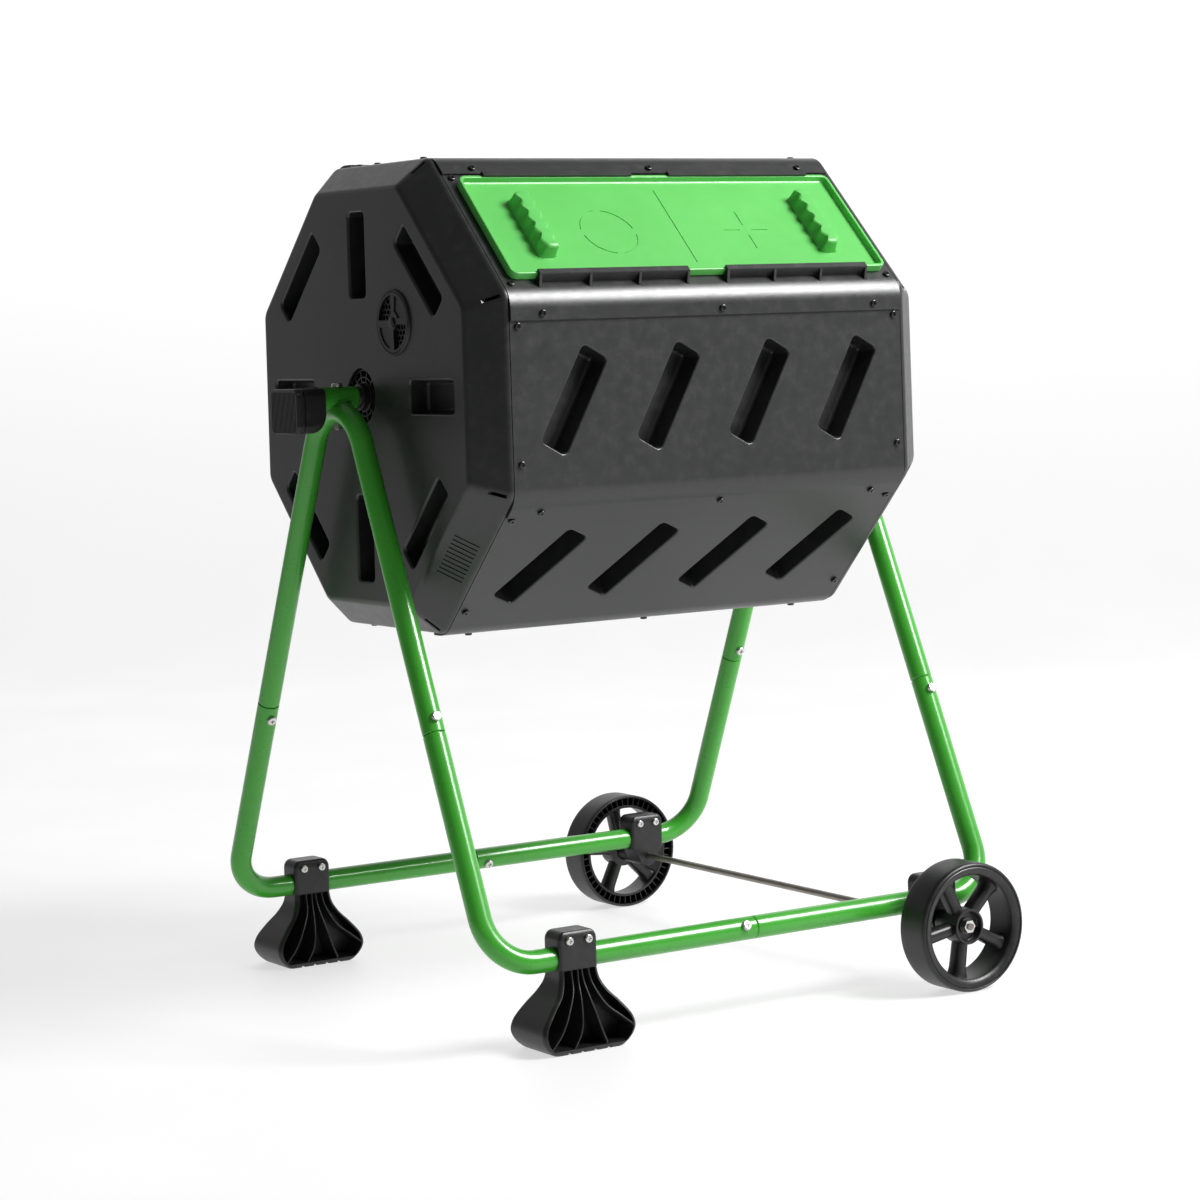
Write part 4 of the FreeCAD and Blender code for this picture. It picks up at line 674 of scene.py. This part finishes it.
def bush():
    """The bearing bush: a flange with wells between spokes, and a sleeve round the axle."""
    shell = Shell()
    bore, collar = 10.98, 15.0
    face = [shell.level(circle(r, 96), z) for r, z in
            ((bore, -24), (19.7, -24), (19.7, -8), (30.9, -8), (31.3, -7.6), (31.3, -0.6), (30.7, 0.0))]
    shell.skin(face)
    top = [shell.level(circle(r, 96), z) for r, z in
           ((collar + 0.5, 0.0), (collar, 0.5), (collar, 7.4), (collar - 0.6, 8.0), (bore + 0.6, 8.0),
            (bore, 7.4))]
    shell.skin(top)
    shell.bridge(top[-1], face[0])
    wells = []
    for i in range(12):
        a = 30 * i
        for outline in (arc(0, 0, 29, a - 13.2, a + 13.2, 6) + arc(0, 0, 22.5, a + 12.7, a - 12.7, 5),
                        arc(0, 0, 21, a - 12.5, a + 12.5, 5) + arc(0, 0, 17, a + 12, a - 12, 4)):
            wells.append(well(shell, outline, 0.0, -5.0)[0])
    shell.region(face[-1], [top[0]] + wells)
    return shell


def vent_screen():
    """The fixed vent: a raised rim, two quarters of honeycomb and the dial's pin."""
    shell = lathe([(33.95, -0.2), (33.95, 2.0), (34.3, 2.4), (35.4, 2.4), (36.2, 1.6), (36.6, 0.1), (34.1, 0.1),
                   (34.1, -0.2)], 96)
    plate_rings = [shell.level(circle(34.2, 96), z) for z in (-3.0, 0.1)]
    inner = [shell.level(circle(33.9, 96), z) for z in (0.1, -0.6)]
    shell.skin([plate_rings[0], plate_rings[1], inner[0], inner[1]])
    front_holes, back_holes = [], []
    pitch = 6.6
    for row in range(-5, 6):
        for column in range(-5, 6):
            cx, cy = (column + (row % 2) / 2) * pitch, row * pitch * math.sin(math.radians(60))
            if cx * cy <= 0 and 8 < math.hypot(cx, cy) < 30:
                front, back = well(shell, circle(3.1, 6, cx, cy, 30), -0.6, -3.0, closed=False)
                front_holes.append(front)
                back_holes.append(back)
    shell.region(inner[1], front_holes)
    shell.region(plate_rings[0], back_holes)
    shell.include(lathe([(0, -1.5), (4.0, -1.5), (4.0, 3.3), (5.6, 3.3), (5.4, 4.0), (4.2, 4.5), (0, 4.5)], 32))
    return shell


def vent_dial():
    """The turning disc: two open quarters, and two solid ones with a finger dish and a grip bar."""
    shell = Shell()
    edge = [shell.level(circle(r, 96), z) for r, z in
            ((33.1, 0.0), (33.5, 0.4), (33.5, 1.7), (33.0, 2.2))]
    shell.skin(edge)
    top_holes, under_holes = [], []
    for half in (0, 180):
        outline = arc(0, 0, 30.4, half + 95, half + 175, 14) + arc(0, 0, 8.4, half + 164, half + 106, 4)
        mouth, back = well(shell, outline, 2.2, 0.0, closed=False)
        under_holes.append(back)
        dish = arc(0, 0, 29.4, half + 10, half + 78, 12) + arc(0, 0, 12.5, half + 70, half + 20, 4)
        top_holes += [mouth, well(shell, dish, 2.2, 0.9)[0]]
    bore = [shell.level(circle(4.08, 32), z) for z in (2.2, 0.0)]
    shell.skin(bore)
    shell.region(edge[-1], top_holes + [bore[0]])
    shell.region(edge[0], under_holes + [bore[1]])
    return shell


bush_shape, screen_shape, dial_shape = bush(), vent_screen(), vent_dial()
for label, side, turn in SIDES:
    build(label + "_bush_moulding", bush_shape, DARK, "drum", label + "_drum_bush",
          placed(side * (CAP_FACE - 4.5), 0, AXLE_HEIGHT, turn))
    centre = AXLE + turn @ Vector((*VENT, 0.0))
    build(label + "_vent_honeycomb", screen_shape, DARK, "drum", label + "_vent_screen",
          placed(side * CAP_FACE, centre.y, centre.z, turn))
    build(label + "_vent_disc", dial_shape, DARK, label + "_vent_dial_body", label + "_vent_dial",
          placed(side * (CAP_FACE + 0.4), centre.y, centre.z, turn))

# ---- stand tubes

LEG_X, RAIL_Y, RAIL_Z = 328.0, 297.0, 94.0
SPLAY = math.radians(24.3)
JOINT_Z = 326.4
TUBE_R, BORE_R, SWAGE_R = 12.5, 11.0, 10.9
SWAGE_LENGTH = 45.0
FOOT_X, WHEEL_X, WHEEL_Y, WHEEL_R = -232, 250, 349, 71.5


def bent_path(first, centre, start, axis, degrees, last):
    """A straight run, an arc about a centre from its start, and a straight run."""
    centre, arm = Vector(centre), Vector(start) - Vector(centre)
    count = max(10, int(abs(math.radians(degrees)) * arm.length / 3.0))
    turns = [Matrix.Rotation(math.radians(degrees * i / count), 3, axis) for i in range(1, count + 1)]
    return [Vector(first), Vector(start)] + [centre + turn @ arm for turn in turns] + [Vector(last)]


def skin_along(points, directions, radii, count=48):
    """A closed skin along points, one radius for each point, with flat ends."""
    shell = Shell()
    up = directions[0].orthogonal().normalized()
    rings = []
    for point, direction, radius in zip(points, directions, radii):
        up = (up - direction * up.dot(direction)).normalized()
        side = direction.cross(up)
        rings.append(shell.ring([point + (up * math.cos(2 * math.pi * k / count)
                                          + side * math.sin(2 * math.pi * k / count)) * radius
                                 for k in range(count)]))
    shell.solid(rings)
    return shell


# (distance in from the tip, radius), from a tube's inside or a swaged tip out to the full diameter
TUBE_ENDS = {"open": [(SWAGE_LENGTH + 2, BORE_R), (0.6, BORE_R), (0.0, BORE_R + 0.3), (0.0, TUBE_R - 0.5),
                      (0.5, TUBE_R)],
             "swaged": [(-SWAGE_LENGTH, SWAGE_R - 0.8), (-SWAGE_LENGTH + 1, SWAGE_R), (-0.4, SWAGE_R),
                        (0.4, SWAGE_R + 0.15), (0.9, SWAGE_R + 0.6), (1.6, TUBE_R - 0.35), (2.6, TUBE_R)]}


def pipe(points, start, end):
    """A tube along points, with an "open" end, which takes a swaged one, or a "swaged" end at each tip."""
    first = (points[1] - points[0]).normalized()
    last = (points[-1] - points[-2]).normalized()
    stations = [(points[0] + first * s, first, r) for s, r in TUBE_ENDS[start]]
    for before, here, after in zip(points, points[1:], points[2:]):
        way = (here - before).normalized() + (after - here).normalized()
        stations.append((here, way.normalized(), TUBE_R))
    stations += [(points[-1] - last * s, last, r) for s, r in reversed(TUBE_ENDS[end])]
    return skin_along(*zip(*stations))


LEG_Y = RAIL_Y - math.tan(SPLAY) * (JOINT_Z - RAIL_Z)
LEG_DROP = AXLE_HEIGHT - JOINT_Z
APEX_BEND, RAIL_BEND = 60.0, 52.0
APEX_DROP = AXLE_HEIGHT - RAIL_Z - RAIL_Y / math.tan(SPLAY) + APEX_BEND * (1 / math.sin(SPLAY) - 1)
LEG_LENGTH = (JOINT_Z - RAIL_Z) / math.cos(SPLAY)


def upper_frame():
    """An A-frame's top: the bent tube and the stub welded across it, in the left frame's place."""
    centre = Vector((0, 0, -APEX_DROP - APEX_BEND))
    sweep = 90 - math.degrees(SPLAY)
    start = centre + Matrix.Rotation(math.radians(sweep), 3, "X") @ Vector((0, 0, APEX_BEND))
    path = bent_path((0, -LEG_Y, -LEG_DROP), centre, start, "X", -2 * sweep, (0, LEG_Y, -LEG_DROP))
    shell = pipe(path, "open", "swaged")
    stub = [(-25.5, 10.2), (-25.5, 11.9), (-24.9, 12.5), (21.4, 12.5), (22, 11.9), (22, 11.0), (16, 11.0)]
    axis = Vector((1, 0, 0))
    shell.include(skin_along([axis * x for x, _ in stub], [axis] * len(stub), [r for _, r in stub]))
    # weld beads where the stub lies on the bend
    for side in (-1, 1):
        bead = []
        for i in range(41):
            x = -13 + 26 * i / 40
            dip = math.sqrt(max(0.0, 13.6 ** 2 - x * x))
            bead.append(Vector((x, side * min(11.8, 4 + dip * 0.62), -3.5 - 3.0 * (x / 13) ** 2)))
        ways = [(bead[min(i + 1, 40)] - bead[max(i - 1, 0)]).normalized() for i in range(41)]
        shell.include(skin_along(bead, ways, [1.7 + 0.25 * math.sin(i * 1.9) for i in range(41)], 10))
    return shell


def lower_tube(rail_end, leg_end):
    """A rail half and its leg: local X along the rail, local Y up the leg."""
    flat = LEG_X - RAIL_BEND
    path = bent_path((0, 0, 0), (flat, RAIL_BEND, 0), (flat, 0, 0), "Z", 90, (LEG_X, LEG_LENGTH, 0))
    return pipe(path, rail_end, leg_end)


HALF_TURN = Matrix.Rotation(math.pi, 3, "Z")
arch = upper_frame()
build("left_arch_tube", arch, PAINT, "stand", "left_upper_frame", placed(-LEG_X, 0, AXLE_HEIGHT), sharp=40)
build("right_arch_tube", arch, PAINT, "stand", "right_upper_frame", placed(LEG_X, 0, AXLE_HEIGHT, HALF_TURN),
      sharp=40)
open_rail, swaged_rail = lower_tube("open", "swaged"), lower_tube("swaged", "open")
for label, shape, x, y in (("front_left", open_rail, -1, -1), ("front_right", swaged_rail, 1, -1),
                           ("back_left", swaged_rail, -1, 1), ("back_right", open_rail, 1, 1)):
    turn = axes((x, 0, 0), (0, -y * math.sin(SPLAY), math.cos(SPLAY)))
    build(label + "_rail_tube", shape, PAINT, "stand", label + "_tube", placed(0, y * RAIL_Y, RAIL_Z, turn),
          sharp=40)

# ---- end grips


def end_grip():
    """The grip that closes a stub: a ribbed outer plate, a waist, and a block with a rounded inner corner."""
    shell = Shell()
    stations = [(-41, 1.2), (-40.6, 0.4), (-39.8, 0.0), (-33.5, 0.0), (-33.1, 0.4), (-33.0, 2.0), (-30.0, 2.0),
                (-29.9, 0.4), (-29.5, 0.0)]
    stations += [(-19 + 14 * math.sin(math.radians(7.5 * i)), 0.0) for i in range(12)]
    stations += [(-5.1, 0.5), (-5.0, 1.3)]
    rings = []
    for x, inset in stations:
        lift = 14 - math.sqrt(max(14 ** 2 - max(x + 19, 0) ** 2, 0)) if x < -5.15 else 12.9
        outline = rounded(63 - 2 * inset, 49 - 2 * inset - lift, 9 - inset, 8)
        rings.append(shell.ring([(x, a, b - 12.5 + lift / 2) for a, b in outline]))
    shell.solid(rings)
    neck = lathe([(0, -6), (13.5, -6), (13.5, -0.6), (12.9, 0), (9.2, 0), (9.2, 17), (8.6, 18), (0, 18)], 48)
    shell.include(neck, Matrix.Rotation(math.pi / 2, 4, "Y"))
    return shell


grip_shape = end_grip()
ribs = Shell()
for i in range(-9, 10):
    ribs.include(box_shell((-42, 3 * i - 0.7, -38), (-40, 3 * i + 0.7, 8.5)))
for i in range(4):
    ribs.include(box_shell((3 * i - 39.6, -40, -38), (3 * i - 38.2, 40, -36)))
for label, side, _ in SIDES:
    build(label + "_grip_block", grip_shape, DARK, "stand", label + "_end_grip",
          placed(side * (LEG_X + 25.7), 0, AXLE_HEIGHT, HALF_TURN if side > 0 else None), cutters=[ribs])

# ---- clamp blocks, feet and wheel brackets


def clamp_top(bottom):
    """The block that closes around the rail, with softened edges and sloping shoulders."""
    shell = Shell()
    levels = [(bottom, 0.0), (114, 0.0), (117, 0.6), (120, 2.2), (121.8, 4.2), (122.7, 6.2), (123, 8.0)]
    shell.solid([shell.level(rounded(47 - 2 * inset, 32 - 0.9 * inset, max(4 - inset * 0.25, 1.5), 5), z)
                 for z, inset in levels])
    return shell


def rod_shell(radius, axis, other, level, count):
    """A round bar for cutting, along X or Y."""
    shell = Shell()
    rings = []
    for at in (-40, 40):
        ring = []
        for a, b in circle(radius, count):
            ring.append((at, other + a, level + b) if axis == "X" else (other + a, at, level + b))
        rings.append(shell.ring(ring))
    shell.solid(rings)
    return shell


def clamp_cuts():
    """The rail's bore and the two screw holes."""
    bore = rod_shell(12.6, "X", 0, RAIL_Z, 56)
    screws = Shell()
    for x in (-11.75, 11.75):
        screws.include(rod_shell(2.8, "Y", x, 113.5, 24))
    return [bore, screws]


def spline(table, z):
    """A smooth value from a table of (z, value), by cubic Hermite pieces."""
    i = next((k for k in range(len(table) - 1) if z <= table[k + 1][0]), len(table) - 2)
    (z0, v0), (z1, v1) = table[i], table[i + 1]
    before, after = table[max(i - 1, 0)], table[min(i + 2, len(table) - 1)]
    m0, m1 = (v1 - before[1]) / (z1 - before[0]), (after[1] - v0) / (after[0] - z0)
    t, span = min(max((z - z0) / (z1 - z0), 0.0), 1.0), z1 - z0
    return ((2 * t ** 3 - 3 * t ** 2 + 1) * v0 + (t ** 3 - 2 * t ** 2 + t) * span * m0
            + (-2 * t ** 3 + 3 * t ** 2) * v1 + (t ** 3 - t ** 2) * span * m1)


# the foot's half width and half depth at each height, and each rib's place across the face
FOOT_HALF = [(0, 42), (3, 45.5), (7, 50), (13, 54.6), (20, 57), (27, 56), (34, 52.6), (47, 42), (59, 31),
             (71, 25), (84, 23)]
FOOT_DEPTH = [(0, 32.5), (3, 33.5), (7, 34.5), (20, 35.8), (34, 33.8), (47, 29.6), (59, 24.6), (71, 19),
              (84, 16)]
FOOT_RIBS = [[(7, -47), (22, -35), (45, -21), (65, -11), (85, -9.4)],
             [(7, -18), (22, -11), (45, -6), (65, -3.4), (85, -1.6)],
             [(7, 21), (22, 14), (45, 8), (65, 4.4), (85, 3.0)],
             [(16, 58), (22, 52), (30, 42), (45, 24), (65, 14), (85, 11)]]


def foot_flare():
    """The flared part of a foot: a smooth bell with each face hollowed out behind four fanning ribs."""
    shell = Shell()
    rings = []
    # steps across a face and round a corner, the hollow's side wall, and its lowest and highest levels
    across, side, wall, low, top = 96, 10, 3.2, 6.0, 83.0
    levels = [0, 0.5, 1.2, 2.2] + [3 + 81 * i / 76 for i in range(77)]

    def web(z):
        """Half the thickness that is left in the middle, more where the rail passes above."""
        return 4.5 + max(0.0, z - 76) * 0.75

    for z in levels:
        half, depth = spline(FOOT_HALF, z), spline(FOOT_DEPTH, z)
        soften = max(0.0, 1.6 - z)
        half, depth = half - soften * 0.8, depth - soften * 0.8
        round_r = min(5.0, depth * 0.3)

        def hollow(x):
            """How deep the face is hollowed at this width."""
            gap = min(half - wall - abs(x), z - low, top - z)
            if gap <= 0:
                return 0.0
            t = min(gap / 0.8, 1.0)
            return (depth - web(z)) * (t * t * (3 - 2 * t))

        flat = half - round_r
        edge_in = min(flat, (half - wall) * 0.985)
        xs = [-flat + (flat - edge_in) * k / 4 for k in range(4)]
        xs += [-edge_in + 2 * edge_in * k / across for k in range(across + 1)] + [-x for x in reversed(xs)]
        corner = [(flat + round_r * math.sin(a), -depth + round_r - round_r * math.cos(a))
                  for a in [math.pi / 2 * k / side for k in range(1, side + 1)]]
        front = [(x, -depth + hollow(x)) for x in xs] + corner
        rings.append(shell.level(front + [(x, -y) for x, y in reversed(front)] + [(-x, -y) for x, y in corner]
                                 + [(-x, y) for x, y in reversed(corner)], z))
    shell.solid(rings)
    for table in FOOT_RIBS:
        for way in (-1, 1):
            strip = Shell()
            rings = []
            for i in range(61):
                z = 5 + 78.5 * i / 60
                x = spline(table, z) if z >= table[0][0] else table[0][1] - (table[0][0] - z) * 0.5
                lean = (spline(table, min(z + 1, 85)) - spline(table, max(z - 1, table[0][0]))) / 2
                thick = 1.1 * math.sqrt(1 + lean * lean)
                depth, half = spline(FOOT_DEPTH, z) - 0.5, spline(FOOT_HALF, z) - 1.6
                x = max(min(x, half - thick), thick - half)
                back = web(z) - 1.5
                outline = [(-thick, back), (thick, back), (thick, depth - 0.8), (thick * 0.6, depth - 0.2),
                           (0, depth), (-thick * 0.6, depth - 0.2), (-thick, depth - 0.8)]
                rings.append(strip.level([(x + a, way * b) for a, b in outline], z))
            strip.solid(rings)
            shell.include(strip)
    return shell


def sole_cuts():
    """Tread gaps across the underside."""
    shell = Shell()
    for x in (-24, -8, 8, 24):
        shell.include(box_shell((x - 2.5, -40, -1), (x + 2.5, 40, 2.6)))
    return shell


flare, foot_block = foot_flare(), clamp_top(83.2)
for label, y in (("front", -1), ("back", 1)):
    where = placed(FOOT_X, y * RAIL_Y, 0)
    build(label + "_foot_flare", flare, DARK, "stand", label + "_foot", where, sharp=50,
          cutters=[sole_cuts(), rod_shell(12.6, "X", 0, RAIL_Z, 56)])
    build(label + "_foot_clamp", foot_block, DARK, "stand", label + "_foot", where, cutters=clamp_cuts())


def bracket():
    """A wheel bracket's clamp block with the lug around the wheel axle."""
    shell = clamp_top(81)
    neck = Shell()
    rings = []
    for y, inset in ((-16, 1.4), (-15.4, 0.4), (-14.4, 0.0), (14.4, 0.0), (15.4, 0.4), (16, 1.4)):
        outline = arc(0, WHEEL_R, 13 - inset, 200, 340, 16) + [(19.5 - inset, 83.5), (-19.5 + inset, 83.5)]
        rings.append(neck.ring([(x, y, z) for x, z in outline]))
    neck.solid(rings)
    shell.include(neck)
    return shell


bracket_shape = bracket()
for label, y in (("front", -1), ("back", 1)):
    cuts = clamp_cuts() + [rod_shell(4.15, "Y", 0, WHEEL_R, 32)]
    build(label + "_bracket_clamp", bracket_shape, DARK, "stand", label + "_wheel_bracket",
          placed(WHEEL_X, y * RAIL_Y, 0), cutters=cuts)

# ---- wheels


def wheel():
    """A moulded wheel about local Z, its outer side up: a hollow rim, thin webs, five spokes and a hub."""
    profile = [(55.2, -17.4), (55.8, -18.0), (58.0, -18.0), (58.6, -17.4), (60.0, 14.4), (60.8, 15.2),
               (67.2, 15.2), (68.0, 14.4), (68.0, -20.4), (68.5, -21.0), (70.0, -21.0), (70.8, -20.4),
               (WHEEL_R, -18.4)]
    profile += [(WHEEL_R, z) for z in (-12, -6, 0, 6, 12, 16.6)]
    profile += [(71.2, 18.4), (70.4, 19.9), (69.2, 20.8), (68.0, 21.0), (67.5, 20.5), (67.3, 19.9),
                (66.7, 19.9), (66.4, 20.4), (65.6, 20.9), (62.8, 20.5), (60.0, 19.4), (58.0, 17.8),
                (57.2, 16.0), (56.6, 8.0), (55.6, -6.0)]
    shell = lathe(profile, 192)
    for i in range(48):
        turn = Matrix.Rotation(math.radians(7.5 * i), 4, "Z")
        shell.include(slab(10.5, 1.4, 32.6, 0.5), turn @ Matrix.Translation((63.6, 0, -0.9)))
    for i in range(5):
        spoke = Shell()
        rings = []
        for k in range(17):
            t = k / 16
            x = 15 + 42.6 * t
            flare = max(0.0, (t - 0.72) / 0.28) ** 2
            w = 7.2 + 0.9 * t + 3.6 * flare
            h = 9.6 + 0.6 * t + 1.6 * flare
            ring = []
            for j in range(28):
                b = 2 * math.pi * j / 28
                cb, sb = math.cos(b), math.sin(b)
                ring.append((x, w * math.copysign(abs(cb) ** 0.8, cb),
                             h * math.copysign(abs(sb) ** 0.75, sb) - 1.6))
            rings.append(spoke.ring(ring))
        spoke.solid(rings)
        shell.include(spoke, Matrix.Rotation(math.radians(72 * i), 4, "Z"))
    shell.include(lathe([(4.08, -34), (11.4, -34), (12.2, -33), (13.0, -14), (17.5, -12), (20.0, -10.5),
                         (20.0, 12.4), (19.4, 13.6), (18.4, 14.0), (17.2, 13.8), (16.6, 13.0), (16.5, 6.8),
                         (15.8, 6.0), (4.08, 6.0)], 72))
    return shell


wheel_shape = wheel()
for label, y, lean in (("front", -1, 9), ("back", 1, 11)):
    z_axis = Vector((0, y, 0))
    x_axis = Vector((-math.sin(math.radians(lean)), 0, y * math.cos(math.radians(lean))))
    turn = axes(x_axis, z_axis.cross(x_axis))
    build(label + "_wheel_moulding", wheel_shape, DARK, label + "_wheel_body", label + "_wheel",
          placed(WHEEL_X, y * WHEEL_Y, WHEEL_R, turn), sharp=38)

# ---- what stays as modelled

KEPT = {"drum_axle": ROD, "wheel_axle": ROD, "frame_screws": ZINC, "axle_bolts": ZINC, "axle_nuts": ZINC,
        "clamp_screws": ZINC, "clamp_nuts": ZINC, "wheel_washers": SCREW, "wheel_lock_nuts": ZINC,
        "panel_end_screws": SCREW, "panel_seam_screws": SCREW, "chamber_divider": BLACK}
for node, material in KEPT.items():
    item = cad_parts[node]
    item.data.materials.clear()
    item.data.materials.append(material)

# ---- floor, light and camera

floor_mat = bpy.data.materials.new("pale_floor")
floor_mat.use_nodes = True
tree = floor_mat.node_tree
shader = tree.nodes["Principled BSDF"]
spot = add(tree, "NewGeometry").outputs["Position"]
link(tree, remap(tree, noise(tree, spot, 3.0), 0.5, 0.62), shader.inputs["Roughness"])
# the sweep glows as painted light, which also lights the drum, and the glow brightens up its back; glow and
# grey fade out as painted shade towards the unlit sides of the studio, so the drum's faces there reflect dark
painted_shade_ahead = remap(tree, facing(tree, spot, (-0.82, -0.57, 0.0)), 1.0, 0.22, 1.2, 2.6)
painted_shade_aside = remap(tree, facing(tree, spot, (-0.839, 0.545, 0.0)), 1.0, 0.4, 1.9, 2.9)
painted_light_mask = product(tree, painted_shade_ahead, painted_shade_aside)
painted_glow_rise = remap(tree, facing(tree, spot, (0.0, 0.0, 1.0)), 0.62, 0.86, 0.0, 1.2)
link(tree, product(tree, painted_light_mask, painted_glow_rise), shader.inputs["Emission Strength"])
shader.inputs["Emission Color"].default_value = (1, 1, 1, 1)
link(tree, blend(tree, painted_light_mask, (0.30, 0.30, 0.30), (0.36, 0.36, 0.36)), shader.inputs["Base Color"])
floor_data = bpy.data.meshes.new("floor")
bend = 1.6
profile = [(y, 0.0) for y in (-8, -4, 0, 3)]
profile += [(3.0 + bend * math.sin(math.radians(a)), bend - bend * math.cos(math.radians(a)))
            for a in range(6, 91, 6)] + [(3.0 + bend, 5.0)]
points = [(x, y, z) for y, z in profile for x in (-9.0, 30.0)]
faces = [(2 * i, 2 * i + 1, 2 * i + 3, 2 * i + 2) for i in range(len(profile) - 1)]
floor_data.from_pydata(points, [], faces)
for polygon in floor_data.polygons:
    polygon.use_smooth = True
floor = scene_object("floor", floor_data)
floor.rotation_euler = (0, 0, math.radians(-33))
floor.data.materials.append(floor_mat)

world = bpy.data.worlds.new("studio")
world.use_nodes = True
tree = world.node_tree
sky = add(tree, "TexCoord").outputs["Generated"]
dim = remap(tree, facing(tree, sky, (-0.80, -0.55, 0.10)), 0.30, 0.12, -0.35, 0.3)
link(tree, dim, tree.nodes["Background"].inputs["Strength"])
tree.nodes["Background"].inputs["Color"].default_value = (1, 1, 1, 1)
bpy.context.scene.world = world


def area_light(name, at, aim, width, height, power):
    """A soft box aimed at a point."""
    data = bpy.data.lights.new(name, "AREA")
    data.shape = "RECTANGLE"
    data.size, data.size_y = width, height
    data.energy = power
    lamp = scene_object(name, data)
    lamp.location = at
    lamp.rotation_euler = (Vector(aim) - Vector(at)).to_track_quat("-Z", "Y").to_euler()
    return lamp


area_light("key_box", (1.9, -2.1, 2.9), (0.0, 0.0, 0.6), 1.5, 1.5, 185)
sheen = area_light("sheen_strip", (2.1, -2.2, 2.8), (0.0, 0.0, 0.6), 1.6, 1.5, 75)
sheen.visible_diffuse = False

camera_data = bpy.data.cameras.new("camera")
camera_data.sensor_width = 36
camera_data.lens = 95.85
camera_data.shift_x = -0.003
camera_data.shift_y = -0.229
camera = scene_object("camera", camera_data)
azimuth, roll = math.radians(-32.886), math.radians(-1.8468)
back = Vector((math.sin(azimuth), -math.cos(azimuth), 0.0011)).normalized()
level = Vector((math.cos(azimuth), math.sin(azimuth), 0.0))
upright = back.cross(level)
right = level * math.cos(roll) + upright * math.sin(roll)
top = back.cross(right)
camera_turn = Matrix((right, top, back)).transposed().to_4x4()
camera.matrix_world = Matrix.Translation((-1.999, -3.132, 0.756)) @ camera_turn
bpy.context.scene.camera = camera
bpy.context.scene.view_settings.view_transform = "Standard"

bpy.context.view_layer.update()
